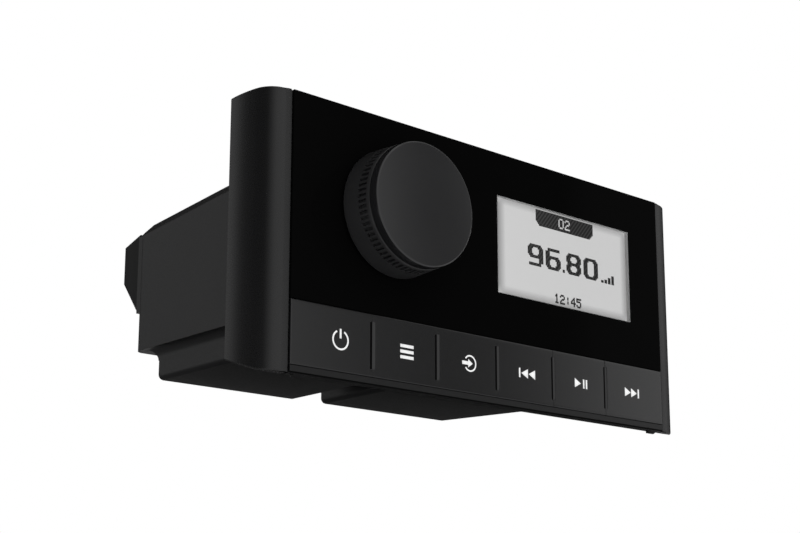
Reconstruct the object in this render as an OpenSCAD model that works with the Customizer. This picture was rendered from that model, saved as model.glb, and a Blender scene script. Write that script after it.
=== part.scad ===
// Flush mounted marine stereo: a moulded chassis with a finned rear, a glossy
// front panel with display, six sprung keys and a turn-and-push knob.
// X runs to the right, Y into the dashboard, Z up. The origin is the centre of
// the four panel screws, in the plane of the dashboard's front face.

/* [Front panel] */
// Overall height of the front
panel_h = 74.5; // [73.5:0.5:80]
// Depth of the front, from the lens to the dashboard
panel_d = 14.6; // [14.2:0.1:17]
// Width of the centre between the two screw covers
centre_w = 145.3; // [138:0.1:152]
// Dark joint between the centre and each screw cover
seam = 0.35; // [0.25:0.05:0.5]
// How far the underside climbs towards the dashboard
underside_rise = 4.05; // [2.5:0.05:4.5]
// How far the top falls towards the dashboard
top_fall = 0.85; // [0.3:0.05:1.5]
// Height of the lip under the keys
lip_h = 2.05; // [1.6:0.05:2.6]
// Depth of the level lip under the keys
lip_d = 3; // [2.5:0.1:3.4]
// Width of each pry tab under the lip
pry_tab_w = 3.2; // [2:0.1:4]
// Distance of each pry tab from the end of the lip
pry_tab_set = 2; // [1:0.1:4]
// Depth of each pry tab
pry_tab_d = 2.4; // [1.5:0.1:2.5]
// How far each pry tab stands below the lip
pry_tab_h = 0.7; // [0.4:0.1:1]
// Wall of the fascia frame
frame_wall = 2; // [1.6:0.1:2.2]

/* [Lens and display] */
// Thickness of the lens
lens_t = 2; // [1.8:0.1:2.2]
// Width of the display window
display_w = 57.6; // [50:0.1:58]
// Height of the display window
display_h = 29.1; // [25:0.1:30]
// Distance of the window's right side from the edge of the centre
display_edge = 14.25; // [13:0.05:16]
// Height of the knob's axis and of the window's centre above the middle of the lens
axis_lift = 0.4; // [-0.5:0.1:1]
// Joint round the clear window
window_gap = 0.08; // [0.05:0.01:0.15]
// Border of the display glass outside the window
glass_border = 2.2; // [1.8:0.1:2.4]
// Thickness of the display glass
glass_t = 1.8; // [1.4:0.1:2]
// Wall of the display's frame
lcd_wall = 1.5; // [1.2:0.1:1.6]

/* [Keys] */
// Height of the strip of keys
key_strip_h = 17.15; // [15.5:0.05:18.5]
// Extra width of the first and the last key
key_margin = 4.1; // [3:0.05:5]
// Joint between neighbouring keys
key_gap = 0.14; // [0.1:0.01:0.2]
// Thickness of a key's cap
key_cap_t = 1.2; // [1:0.05:1.25]
// Travel of a key
key_travel = 0.6; // [0.4:0.05:0.65]
// Width of the groove between two keys
groove_w = 1; // [0.8:0.05:1.4]
// Depth of the groove between two keys
groove_d = 0.45; // [0.3:0.05:0.6]
// Distance of a groove's ends from the key's upper and lower edges
groove_margin = 2.1; // [1.6:0.1:3]
// Width of a key's stem
stem_w = 8; // [7:0.1:8.4]
// Distance of a key's stem from its upper and lower edges
stem_margin = 4.15; // [3.8:0.05:5]
// Overhang of the two hooks that keep a key in
hook_out = 0.8; // [0.5:0.05:1]
// Thickness of a hook
hook_t = 1; // [0.8:0.05:1.05]
// Side of a switch body
switch_side = 6; // [5:0.1:6.5]

/* [Knob and encoder] */
// Distance of the knob's axis from the left edge of the centre
knob_edge = 33.41; // [31:0.01:36]
// Radius of the knob next to the lens
knob_base_r = 17.7; // [17:0.1:18.5]
// Radius of the knob at its front edge
knob_front_r = 16.9; // [16.4:0.1:17]
// Height of the knob's front above the lens
knob_h = 13.9; // [13:0.1:15]
// Height of the joint between grip and cap
cap_joint_h = 11; // [10.8:0.1:11.5]
// Gap between the knob and the lens
knob_gap = 1.2; // [0.9:0.05:1.4]
// Wall of the grip
grip_wall = 2.2; // [1.8:0.1:2.4]
// Number of slots round the grip
tick_count = 72; // [48:1:80]
// Width of a slot
tick_w = 0.75; // [0.5:0.05:0.85]
// Length of a slot
tick_len = 2.9; // [2.4:0.1:3.1]
// Depth of a slot
tick_depth = 0.55; // [0.4:0.05:0.6]
// Distance of the slots from the joint
tick_set = 1.2; // [0.8:0.1:1.4]
// Travel of the knob when it is pushed
push_travel = 0.5; // [0.3:0.05:0.6]
// Radius of the shaft
shaft_r = 2; // [1.8:0.05:2.2]
// Wall of the rotor's sleeve
rotor_wall = 0.9; // [0.7:0.05:1.1]
// Wall of the threaded bush
bush_wall = 0.5; // [0.4:0.05:0.7]
// Radial running clearance of shaft and rotor
run_fit = 0.05; // [0.03:0.01:0.08]
// Side of the encoder's body
encoder_side = 12.5; // [11.5:0.1:13]
// Radius of the turned hub in the knob
hub_r = 4.6; // [4.2:0.1:5.2]
// Thickness of the nut
nut_t = 1.7; // [1.4:0.1:1.75]

/* [Screw covers] */
// Width of a cover
cover_w = 9.175; // [8.4:0.025:10.5]
// Radius of a cover's front edge
cover_front_r = 8; // [7.6:0.1:8.3]
// Distance of a cover's front behind the lens
cover_set = 0.4; // [0.2:0.05:0.6]
// Wall of a cover
cover_wall = 1.6; // [1.4:0.1:1.8]
// Distance of a cover's rear edge from the dashboard
cover_lift = 0.2; // [0.1:0.05:0.4]

/* [Panel mount] */
// Distance of the screws from the outer sides of the front
screw_edge = 5.4; // [5:0.05:5.8]
// Distance between the upper and the lower screws
screw_span_z = 50; // [40:0.5:54]
// Radius of the screw holes
screw_hole_r = 2.1; // [1.8:0.05:2.2]
// Thickness of the mounting flange
flange_t = 2.8; // [2.6:0.1:2.9]
// Thickness of the foam gasket
gasket_t = 0.8; // [0.6:0.05:0.9]
// Width of the seal between fascia and flange
seal_w = 1.4; // [1.2:0.1:1.6]
// Thickness of that seal
seal_t = 0.6; // [0.4:0.05:0.7]

/* [Chassis] */
// Step from the centre of the front to the chassis side
chassis_step = 0.25; // [0.2:0.05:1]
// Depth of the chassis behind the dashboard's face
chassis_d = 59.1; // [57:0.1:64]
// Height of the chassis top at the flange
chassis_top = 22.5; // [21.5:0.1:23.5]
// How far the chassis top falls towards the rear
chassis_fall = 4.3; // [3:0.1:4.6]
// Bevel along both upper edges
chassis_bevel = 4.8; // [4:0.1:5.2]
// Wall of the chassis
chassis_wall = 2.4; // [2:0.1:2.6]
// Height of the ledge under the side walls, below the axis of the panel
ledge_drop = 20.5; // [20:0.1:21]
// Radius of the cove under the ledge
cove_r = 3.2; // [2.8:0.1:3.4]
// Depth of the underside below the axis of the panel
belly_drop = 29.3; // [28.8:0.1:29.6]
// Distance of the belly from the rear wall
rear_ledge = 7.7; // [7:0.1:9]
// Rounding of the belly's long lower edges
belly_round = 1.6; // [1:0.1:1.8]
// Rounding of the upright rear edges
rear_round = 2.5; // [1.5:0.1:2.6]
// Left side of the cable channel, from the middle to the left
channel_left = 21; // [20.5:0.1:21.5]
// Right side of the cable channel, from the middle to the left
channel_right = 11.2; // [10:0.1:12]
// Right side of the belly at its rear, from the middle
belly_right = 39.5; // [37:0.1:41]
// Angle of the belly's right side
belly_turn = 13; // [8:0.5:14]

/* [Heat sink] */
// Depth of the fins behind the chassis
sink_d = 8.3; // [7:0.1:9]
// Distance of the heat sink from the power socket
sink_gap = 3; // [2:0.1:5]
// Height of its rear face above the axis of the panel
sink_top = 12.1; // [11.5:0.1:12.5]
// Bottom of its rear face above the axis of the panel
sink_low = 1.1; // [0.5:0.1:2]
// Height of its root above the axis of the panel
sink_root_top = 14.4; // [13.8:0.1:14.8]
// Depth of its root below the axis of the panel
sink_root_drop = 9.2; // [8.8:0.1:9.6]
// Thickness of the base under the fins
sink_base_t = 2.6; // [2.2:0.1:3]
// Number of slots between the fins
fin_slots = 18; // [12:1:20]
// Width of a slot between two fins
fin_gap = 2.3; // [1.8:0.1:2.5]
// Thickness of the outermost fins
fin_cheek = 2.2; // [1.8:0.1:3]
// Width of the pad that reaches the amplifier
pad_w = 30; // [26:0.5:32]
// Height of the pad
pad_h = 15; // [13:0.5:16]

/* [Boards and sockets] */
// Thickness of both circuit boards
board_t = 1.6; // [1.4:0.1:1.6]
// Height of the front board's pillars
pillar_h = 3.6; // [3.5:0.05:3.8]
// Height of the main board's pillars
standoff_h = 1.5; // [1.2:0.1:1.8]
// Width of the power socket
power_w = 27; // [24:0.5:28]
// Height of the power socket
power_h = 10; // [9:0.1:10.5]
// Width of the line socket
line_w = 13; // [12:0.5:14]
// How far the sockets stand out of the rear wall
socket_out = 8; // [6:0.1:10]
// Wall of the sockets
socket_wall = 1.2; // [1:0.1:1.4]
// Depth of the sockets' mouths
socket_depth = 11; // [10.5:0.5:12]
// Length of the sockets' bodies inside their mouths
socket_body = 8; // [6:0.1:9]
// Distance between the power pins
power_pin_pitch = 3.8; // [3.4:0.1:4]
// Distance between the line pins
line_pin_pitch = 3; // [2.6:0.1:3.2]
// Length of the pins
pin_len = 5; // [4:0.1:5.5]
// Bore radius of the antenna socket
antenna_r = 3.95; // [3.5:0.05:4]
// Length of the antenna socket's bore
antenna_len = 10; // [9:0.5:11]
// Width of the tuner can
tuner_w = 28; // [24:0.5:30]
// Length of the tuner can
tuner_l = 24; // [20:0.5:26]
// Height of the tuner can
tuner_h = 9; // [8:0.5:10]
// Radius of the capacitors
capacitor_r = 6.3; // [5:0.1:6.5]
// Height of the capacitors
capacitor_h = 19; // [16:0.5:20]
// Radius of the choke's ring
choke_r = 5.5; // [4.5:0.1:6]
// Radius of the choke's winding
choke_wire_r = 2.6; // [2.2:0.1:2.8]
// Thickness of the amplifier chip
chip_t = 4.4; // [4:0.1:5]
// Width of the flat cable
ribbon_w = 20; // [16:0.5:22]

/* [Hidden] */
$fn = 64;

// Clearances that hold between fixed pieces
fit = 0.2;
touch = 0.05;
over = 1;

// Planes across the depth, from the lens to the dashboard
y_lens = -panel_d;
y_plate = y_lens + lens_t;
y_tray = y_plate + frame_wall;
y_board = y_tray + pillar_h;
y_board_rear = y_board + board_t;
y_gasket = -gasket_t;
y_flange = y_gasket - flange_t;
half_h = panel_h / 2;
half_centre = centre_w / 2 - seam;
panel_w = centre_w + seam + 2 * cover_w;

// Levels of the front
lens_z = -half_h + lip_h + key_strip_h;
axis_z = (half_h + lens_z) / 2 + axis_lift;
key_low = -half_h + lip_h + key_gap;
key_high = lens_z - key_gap;
key_mid = (key_low + key_high) / 2;
groove_len = key_high - key_low - 2 * groove_margin;
stem_h = key_high - key_low - 2 * stem_margin;
display_x = centre_w / 2 - display_edge - display_w / 2;
knob_x = centre_w / 2 - knob_edge;
window_x = [display_x - display_w / 2, display_x + display_w / 2];
window_z = [axis_z - display_h / 2, axis_z + display_h / 2];

// Edges of the six keys, counted from the left
key_names = ["power", "menu", "source", "previous", "play", "next"];
key_count = len(key_names);
key_pitch = (centre_w - 2 * key_margin) / key_count;
function key_edge(i) =
    i == 0 ? -half_centre : i == key_count ? half_centre : (i - key_count / 2) * key_pitch;
function key_centre(i) = (i + 0.5 - key_count / 2) * key_pitch;
stem_end = y_tray + fit + hook_t;
switch_h = y_board - stem_end - key_travel - fit / 2;
switch_base_h = switch_h * 0.7;
switch_button_r = 1.6;

// Screw covers: two arcs that meet smoothly, one round the front and one down the side
cover_in = centre_w / 2 + seam / 2;
cover_d = panel_d - cover_set - cover_lift;
cover_side_r = (cover_w * cover_w + (cover_d - cover_front_r) * (cover_d - cover_front_r)
    - cover_front_r * cover_front_r) / (2 * (cover_w - cover_front_r));
cover_meet = atan2(cover_d - cover_front_r, cover_side_r - cover_w);

// Flange and chassis
wing_x = panel_w / 2 - cover_wall - fit;
wing_high = half_h - top_fall - cover_wall - fit;
wing_low = half_h - underside_rise - cover_wall - fit;
flange_edge = 0.25;
bevel_reach = 10;
screw_span_x = panel_w - 2 * screw_edge;
half_chassis = centre_w / 2 - chassis_step;
chassis_w = 2 * half_chassis;
belly_d = chassis_d - rear_ledge;
cove_z = -ledge_drop - cove_r;
belly_half = half_chassis - cove_r;
channel_roof = cove_z;
fall_angle = atan(chassis_fall / chassis_d);
floor_z = -ledge_drop + chassis_wall;
rear_in = chassis_d - chassis_wall;

// Places of the fascia screws, in the corners and beside the cable channel
fascia_screw_x = half_centre - 5.8;
fascia_screw_high = half_h - 7.75;
fascia_screw_low = half_h - 10.25;
fascia_screw_at = [[-fascia_screw_x, fascia_screw_high], [fascia_screw_x, fascia_screw_high],
    [fascia_screw_x, -fascia_screw_low], [-channel_left + 2.5, (channel_roof - belly_drop) / 2]];
fascia_screw_r = 1;
fascia_head_r = 1.9;
fascia_boss_r = 2;
pilot_fit = 0.05;
screw_short = 0.5;
fascia_screw_len = 8;

// Front board and its screws
front_board_half_w = half_centre - frame_wall - 0.9;
front_board_top = half_h - top_fall - frame_wall - 2.4;
front_board_low = half_h - underside_rise - frame_wall;
front_screw_x = front_board_half_w - 2.4;
front_screw_lift = 4;
front_screw_high = axis_z + front_screw_lift;
front_screw_low = lens_z + 3;
front_screw_at = [[-front_screw_x, front_screw_high], [front_screw_x, front_screw_high],
    [-front_screw_x, front_screw_low], [front_screw_x, front_screw_low]];
front_screw_r = 1;
front_boss_r = 2.1;
front_head_r = 1.9;
front_head_t = 1.3;

// Display stack behind the lens
lcd_half_w = display_w / 2 + glass_border;
lcd_half_h = display_h / 2 + glass_border;
lcd_frame_half_w = lcd_half_w + fit / 2 + lcd_wall;
lcd_frame_half_h = lcd_half_h + fit / 2 + lcd_wall;
lcd_lip = 0.5;
y_glass = y_plate + touch + lcd_lip;

// Encoder
encoder_front = y_tray + touch;
rotor_r = shaft_r + run_fit + rotor_wall;
bush_bore_r = rotor_r + run_fit;
bush_r = bush_bore_r + bush_wall;
rotor_disc_r = encoder_side / 2 - 1.45;
rotor_room = 0.3;
encoder_roof_t = 0.7;
dome_h = 0.35;
dome_r = 2.4;
dome_top_r = 0.6 * dome_r;
shaft_end = y_board - dome_h - push_travel - fit / 2;
bush_front_h = 1.5;
hub_low_h = bush_front_h + push_travel + fit;
nut_r = bush_r + 2.2;
lens_hole_r = nut_r + 0.6;
cap_bevel = 0.35;
cap_bevel_h = 0.2;
cap_line_w = 0.3;
cap_line_d = 0.5;
grip_joint_r = knob_base_r - (knob_base_r - knob_front_r) * (cap_joint_h - knob_gap) / (knob_h - knob_gap);
web_t = 2;

// Sockets on the right of the rear wall, counted in from the side wall
antenna_wall = 1.1;
antenna_out_r = antenna_r + antenna_wall;
antenna_x = half_chassis - chassis_wall - antenna_out_r - 1.4;
line_x = antenna_x - antenna_out_r - 2 - line_w / 2;
power_x = line_x - line_w / 2 - 1.5 - power_w / 2;
socket_rear = chassis_d + socket_out;
socket_front = socket_rear - socket_depth - socket_body;
pin_r = 0.5;

// Main board, on its pillars above the chassis floor
main_z = floor_z + standoff_h;
main_top = main_z + board_t;
main_half_w = half_chassis - chassis_wall - 1;
main_front = 8;
main_rear = rear_in - 1.5;
main_screw_x = main_half_w - 5.2;
main_screw_at = [[-main_screw_x, main_front + 5], [main_screw_x, main_front + 5],
    [-main_screw_x, socket_front - 4.7], [main_screw_x, socket_front - 4.7]];
main_screw_r = 1.2;
main_boss_r = 2.6;
main_head_r = 2.3;
main_head_t = 1.6;

// Parts on the main board
tuner_x = main_half_w - 13 - tuner_w;
tuner_y = main_front + 8;
tuner_slot_w = 2;
capacitor_set_x = 23;
capacitor_set_y = 18;
capacitor_x = -main_half_w + capacitor_set_x;
capacitor_y = main_front + capacitor_set_y;
capacitor_pitch = 2 * capacitor_r + 3.4;
capacitor_bevel = 0.5;
choke_x = capacitor_x + 3 * capacitor_pitch + 2;
choke_set_y = 22;
choke_y = main_front + choke_set_y;
choke_post_h = 1.6 * choke_wire_r;

// Heat sink and amplifier
sink_left = -half_chassis + 0.5;
sink_right = power_x - power_w / 2 - sink_gap;
sink_mid = (sink_left + sink_right) / 2;
sink_rear = chassis_d + sink_d;
pad_x = sink_mid;
pad_z = (sink_root_top - sink_root_drop) / 2;
pad_front = rear_in - 0.7;
fin_pitch = (sink_right - sink_left - fin_cheek) / fin_slots;
sink_screw_x = pad_w + 6;
sink_screw_r = 1.5;
sink_hole_floor = 0.4;
sink_head_r = 2.6;
sink_head_t = 2;
chip_w = pad_w - 4;

// Flat cable between the two boards
ribbon_x = -5;
ribbon_t = 0.4;
ribbon_bend = main_front - 3;
ribbon_socket_t = 2.6;
ribbon_socket_h = 5;
ribbon_socket_w = ribbon_w + 4;

module block(low, high) {
    translate(low) cube(high - low);
}

module along_x(x0, x1) {
    translate([x0, 0, 0]) rotate([90, 0, 90]) linear_extrude(x1 - x0) children();
}

module along_y(y0, y1) {
    translate([0, y1, 0]) rotate([90, 0, 0]) linear_extrude(y1 - y0) children();
}

// A drilled or turned piece whose axis runs along Y
module rod_y(x, z, y0, y1, r) {
    translate([x, y0, z]) rotate([-90, 0, 0]) cylinder(h = y1 - y0, r = r);
}

// A shape turned about the knob's axis, with heights counted from the lens towards the user
module on_knob_axis() {
    translate([-knob_x, y_lens, axis_z]) rotate([90, 0, 0]) children();
}

// Side view of the whole front, as depth and height, narrowed by a wall
module front_side(inset) {
    polygon([[y_lens, -half_h + inset], [y_lens + lip_d, -half_h + inset],
        [0, -half_h + underside_rise + inset], [0, half_h - top_fall - inset], [y_lens, half_h - inset]]);
}

// Cross-section of the chassis, narrowed by a wall
module chassis_section(inset) {
    half = half_chassis - inset;
    ledge = -ledge_drop + inset;
    low = -belly_drop + inset;
    difference() {
        union() {
            translate([-half, ledge]) square([2 * half, chassis_top + over - ledge]);
            translate([-half, low]) square([2 * half, ledge - low + touch]);
        }
        for (side = [-1, 1]) {
            translate([side * half_chassis, cove_z]) circle(cove_r + inset);
            translate([side * half_chassis - (cove_r + inset), low - over])
                square([2 * (cove_r + inset), cove_z - low + over]);
        }
    }
}

// Side view of the chassis from the flange to the rear, narrowed by a wall
module chassis_side(inset, front) {
    ledge = -ledge_drop + inset;
    low = -belly_drop + inset;
    rear = chassis_d - inset;
    belly = belly_d - inset;
    difference() {
        union() {
            polygon([[front, ledge], [rear, ledge], [rear, chassis_top - chassis_fall - inset],
                [front, chassis_top - inset - chassis_fall * front / chassis_d]]);
            translate([front, low]) square([belly + cove_r + inset - front, ledge - low + touch]);
        }
        translate([belly_d + cove_r, cove_z]) circle(cove_r + inset);
        translate([belly, low - over]) square([2 * (cove_r + inset), cove_z - low + over]);
    }
}

// Outer form of the chassis, or its hollow when a wall is taken off
module chassis_form(inset, front) {
    bevel = chassis_bevel - inset * (2 - sqrt(2));
    half = half_chassis - inset;
    difference() {
        intersection() {
            along_y(front, chassis_d) chassis_section(inset);
            along_x(-half_chassis, half_chassis) chassis_side(inset, front);
            translate([0, 0, -belly_drop - over]) linear_extrude(belly_drop + chassis_top + 3 * over)
                chassis_plan(inset, front);
        }
        for (side = [-1, 1])
            translate([side * (half - bevel), 0, chassis_top - inset]) rotate([-fall_angle, 0, 0])
                rotate([0, side * 45, 0])
                    translate([-chassis_bevel * 2, front - bevel_reach, 0])
                        cube([chassis_bevel * 4, chassis_d + 2 * bevel_reach, chassis_bevel * 2]);
        block([-channel_left - inset, front - over, -belly_drop - over],
            [-channel_right + inset, chassis_d, channel_roof + inset]);
        belly_side_cut(inset);
    }
}

// Plan view of the chassis, with round upright edges at the rear
module chassis_plan(inset, front) {
    half = half_chassis - inset;
    rear = chassis_d - inset;
    r = rear_round;
    translate([-half, front - over]) square([2 * half, rear - r - front + over]);
    translate([-half + r, front]) square([2 * (half - r), rear - front]);
    for (side = [-1, 1])
        translate([side * (half - r), rear - r]) circle(r);
}

// Everything right of the belly, whose side stands at an angle
module belly_side_cut(inset) {
    translate([belly_right - inset, belly_d, -belly_drop - over]) rotate([0, 0, belly_turn])
        translate([0, -2 * chassis_d, 0])
            cube([chassis_w, 4 * chassis_d, belly_drop + over - ledge_drop + inset]);
}

// Countersunk or pan headed screws share these two forms, which point along +Y or -Y
module countersunk_screw(at, y_head, r, head_r, length) {
    translate([at[0], y_head, at[1]]) rotate([90, 0, 0]) {
        cylinder(h = head_r - r, r1 = head_r, r2 = r);
        cylinder(h = length, r = r);
    }
}

module pan_screw(r, head_r, head_t, length) {
    cylinder(h = head_t, r = head_r);
    translate([0, 0, -length]) cylinder(h = length + head_t / 2, r = r);
}

module flange_outline() {
    translate([-half_centre, -half_h]) square([2 * half_centre, panel_h]);
    translate([-wing_x, -wing_low]) square([2 * wing_x, wing_low + wing_high]);
}

// Part of the chassis between two levels
module chassis_slice(inset, low, high) {
    intersection() {
        chassis_form(inset, inset > 0 ? y_flange - over : y_flange);
        block([-chassis_w, y_flange - 2 * over, low], [chassis_w, 2 * chassis_d, high]);
    }
}

module rear_housing() {
    color("#232426") difference() {
        chassis_slice(0, cove_z, chassis_top + over);
        difference() {
            chassis_slice(chassis_wall, floor_z, chassis_top + over);
            for (at = main_screw_at)
                translate([at[0], at[1], floor_z - over]) cylinder(h = standoff_h + over, r = main_boss_r);
        }
        chassis_slice(chassis_wall, cove_z - over, -ledge_drop);
        for (at = main_screw_at)
            translate([at[0], at[1], floor_z - over])
                cylinder(h = standoff_h + 2 * over, r = main_screw_r + pilot_fit);
        rear_windows();
    }
}

// The hollow blocks under the chassis, on either side of the cable channel
module belly(x0, x1) {
    color("#232426") intersection() {
        difference() {
            chassis_slice(0, -belly_drop - over, cove_z);
            chassis_slice(chassis_wall, -belly_drop - over, cove_z + over);
            belly_edges();
        }
        block([x0, -panel_d, -belly_drop - over], [x1, 2 * chassis_d, over]);
    }
}

// What the round takes off the belly's long lower edges
module belly_edges() {
    along_y(-panel_d, 2 * chassis_d) for (x = [-belly_half, -channel_left, -channel_right])
        translate([x, -belly_drop]) belly_edge_corner(x == -channel_left ? -1 : 1);
}

module belly_edge_corner(side) {
    difference() {
        translate([side > 0 ? -over : -belly_round, -over]) square([belly_round + over, belly_round + over]);
        translate([side * belly_round, belly_round]) circle(belly_round);
    }
}

module belly_left() {
    belly(-chassis_w, -channel_left + touch);
}

module belly_right() {
    belly(-channel_right - touch, chassis_w);
}

// The plate round the chassis that the panel screws hold, with wings under the screw covers
module mounting_flange() {
    color("#232426") difference() {
        intersection() {
            along_y(y_flange, y_gasket) flange_outline();
            along_x(-panel_w, panel_w) front_side(0);
        }
        chassis_form(-touch, y_flange - over);
        panel_screw_holes(y_flange - over, y_gasket + over);
        for (at = fascia_screw_at)
            countersunk_screw(at, y_gasket, fascia_screw_r + pilot_fit, fascia_head_r + pilot_fit,
                fascia_screw_len);
    }
}

// Openings in the rear wall for the pad of the heat sink, its screws and the sockets
module rear_windows() {
    front = rear_in - over;
    rear = chassis_d + over;
    block([pad_x - pad_w / 2 - fit, front, pad_z - pad_h / 2 - fit],
        [pad_x + pad_w / 2 + fit, rear, pad_z + pad_h / 2 + fit]);
    for (side = [-1, 1])
        rod_y(pad_x + side * sink_screw_x / 2, pad_z, front, rear, sink_screw_r + pilot_fit);
    block([power_x - power_w / 2 - fit, front, main_top - fit],
        [power_x + power_w / 2 + fit, rear, main_top + power_h + fit]);
    block([line_x - line_w / 2 - fit, front, main_top - fit],
        [line_x + line_w / 2 + fit, rear, main_top + power_h + fit]);
    rod_y(antenna_x, main_top + antenna_out_r, front, rear, antenna_out_r + fit);
}

module panel_screw_holes(y0, y1) {
    for (sx = [-1, 1], sz = [-1, 1])
        rod_y(sx * screw_span_x / 2, sz * screw_span_z / 2, y0, y1, screw_hole_r);
}

module panel_gasket() {
    color("#141414") difference() {
        intersection() {
            along_y(y_gasket, 0) flange_outline();
            along_x(-panel_w, panel_w) front_side(0);
            block([-wing_x, -panel_d, -half_h + underside_rise + flange_edge],
                [wing_x, 0, half_h - top_fall - flange_edge]);
        }
        block([-half_chassis - fit, y_gasket - over, -belly_drop - fit],
            [half_chassis + fit, over, chassis_top + fit]);
        panel_screw_holes(y_gasket - over, over);
    }
}

module fascia_frame() {
    color("#26272a") difference() {
        union() {
            difference() {
                intersection() {
                    block([-half_centre, y_plate, -half_h], [half_centre, y_flange - seal_t, half_h]);
                    along_x(-panel_w, panel_w) front_side(0);
                }
                block_in_front(half_centre - frame_wall, y_tray, frame_wall);
            }
            block([-half_centre, y_lens, -half_h], [half_centre, y_plate + over, -half_h + lip_h]);
            for (side = [-1, 1])
                translate([side * (half_centre - pry_tab_set - pry_tab_w / 2), 0, 0])
                    block([-pry_tab_w / 2, y_lens + fit, -half_h - pry_tab_h],
                        [pry_tab_w / 2, y_lens + fit + pry_tab_d, -half_h + over]);
            for (at = front_screw_at)
                rod_y(at[0], at[1], y_tray - over, y_board, front_boss_r);
            for (at = fascia_screw_at)
                rod_y(at[0], at[1], y_tray - over, y_flange, fascia_boss_r);
        }
        for (at = front_screw_at)
            rod_y(at[0], at[1], y_tray, y_board + over, front_screw_r + pilot_fit);
        for (at = fascia_screw_at)
            rod_y(at[0], at[1], y_tray, y_flange + over, fascia_screw_r + pilot_fit);
        lcd_opening();
        for (i = [0:key_count - 1])
            block([key_centre(i) - stem_w / 2 - fit, y_plate - over, key_mid - stem_h / 2 - fit],
                [key_centre(i) + stem_w / 2 + fit, y_tray + over, key_mid + stem_h / 2 + fit]);
        rod_y(-knob_x, axis_z, y_plate - over, y_tray + over, bush_r + touch);
    }
}

// Room inside the front, behind a plane across the depth and within an even wall
module block_in_front(half, y0, inset) {
    intersection() {
        block([-half, y0, -half_h], [half, over, half_h]);
        along_x(-half, half) front_side(inset);
    }
}

module lcd_opening() {
    block([display_x - lcd_frame_half_w - fit, y_plate - over, axis_z - lcd_frame_half_h - fit],
        [display_x + lcd_frame_half_w + fit, y_tray + over, axis_z + lcd_frame_half_h + fit]);
}

// Seal in the joint between the fascia frame and the flange
module fascia_seal() {
    seal_dip = 0.6;
    seal_low = -half_h + underside_rise - seal_dip;
    seal_high = half_h - top_fall - fit;
    color("#101010") difference() {
        intersection() {
            block([-half_centre + fit, y_flange - seal_t, -half_h], [half_centre - fit, y_flange, half_h]);
            along_x(-panel_w, panel_w) front_side(0);
            block([-panel_w, -panel_d, seal_low], [panel_w, 0, seal_high]);
        }
        block([-half_centre + fit + seal_w, -panel_d, seal_low + seal_w],
            [half_centre - fit - seal_w, 0, seal_high - seal_w]);
    }
}

module lens() {
    color("#08090a") difference() {
        block([-half_centre, y_lens, lens_z], [half_centre, y_plate, half_h]);
        block([window_x[0], y_lens - over, window_z[0]], [window_x[1], y_plate + over, window_z[1]]);
        rod_y(-knob_x, axis_z, y_lens - over, y_plate + over, lens_hole_r);
    }
}

module display_window() {
    color("#d9e2e4") block([window_x[0] + window_gap, y_lens, window_z[0] + window_gap],
        [window_x[1] - window_gap, y_plate, window_z[1] - window_gap]);
}

// A flat piece of the display, centred on the window
module display_layer(half_w, half_height, y0, y1) {
    block([display_x - half_w, y0, axis_z - half_height], [display_x + half_w, y1, axis_z + half_height]);
}

module lcd_panel() {
    color("#c9cdcc") display_layer(lcd_half_w, lcd_half_h, y_glass, y_glass + glass_t);
}

module backlight() {
    color("#f2f2ee") display_layer(lcd_half_w, lcd_half_h, y_glass + glass_t, y_board);
}

module lcd_frame() {
    color("#3a3b3d") difference() {
        display_layer(lcd_frame_half_w, lcd_frame_half_h, y_plate + touch, y_board);
        display_layer(display_w / 2 + fit, display_h / 2 + fit, y_plate - over, y_board + over);
        display_layer(lcd_half_w + fit / 2, lcd_half_h + fit / 2, y_glass, y_board + over);
    }
}

module front_board() {
    color("#1f5a3c") difference() {
        block([-front_board_half_w, y_board, -front_board_low],
            [front_board_half_w, y_board_rear, front_board_top]);
        for (at = front_screw_at)
            rod_y(at[0], at[1], y_board - over, y_board_rear + over, front_screw_r + pilot_fit);
        for (at = fascia_screw_at)
            rod_y(at[0], at[1], y_board - over, y_board_rear + over, fascia_boss_r + fit);
    }
}

module front_board_screws() {
    color("#8d9093") for (at = front_screw_at)
        translate([at[0], y_board_rear, at[1]]) rotate([-90, 0, 0])
            pan_screw(front_screw_r, front_head_r, front_head_t, board_t + pillar_h - screw_short);
}

module fascia_screws() {
    color("#8d9093") for (at = fascia_screw_at)
        countersunk_screw(at, y_gasket, fascia_screw_r, fascia_head_r, fascia_screw_len);
}

module key_switches() {
    half = switch_side / 2;
    color("#5b5d60") for (i = [0:key_count - 1]) {
        block([key_centre(i) - half, y_board - switch_base_h, key_mid - half],
            [key_centre(i) + half, y_board, key_mid + half]);
        rod_y(key_centre(i), key_mid, y_board - switch_h, y_board - switch_base_h / 2, switch_button_r);
    }
}

// One key: a cap flush with the lens, a stem through the frame and two hooks behind it
module key(i) {
    x0 = key_edge(i) + (i == 0 ? 0 : key_gap / 2);
    x1 = key_edge(i + 1) - (i == key_count - 1 ? 0 : key_gap / 2);
    xc = key_centre(i);
    color("#2c2d30") union() {
        difference() {
            block([x0, y_lens, key_low], [x1, y_lens + key_cap_t, key_high]);
            for (edge = [i, i + 1])
                if (edge > 0 && edge < key_count)
                    block([key_edge(edge) - groove_w / 2, y_lens - over, key_mid - groove_len / 2],
                        [key_edge(edge) + groove_w / 2, y_lens + groove_d, key_mid + groove_len / 2]);
        }
        block([xc - stem_w / 2, y_lens + key_cap_t - touch, key_mid - stem_h / 2],
            [xc + stem_w / 2, stem_end, key_mid + stem_h / 2]);
        block([xc - stem_w / 4, y_tray + fit, key_mid - stem_h / 2 - fit - hook_out],
            [xc + stem_w / 4, stem_end, key_mid + stem_h / 2 + fit + hook_out]);
    }
}

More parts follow.
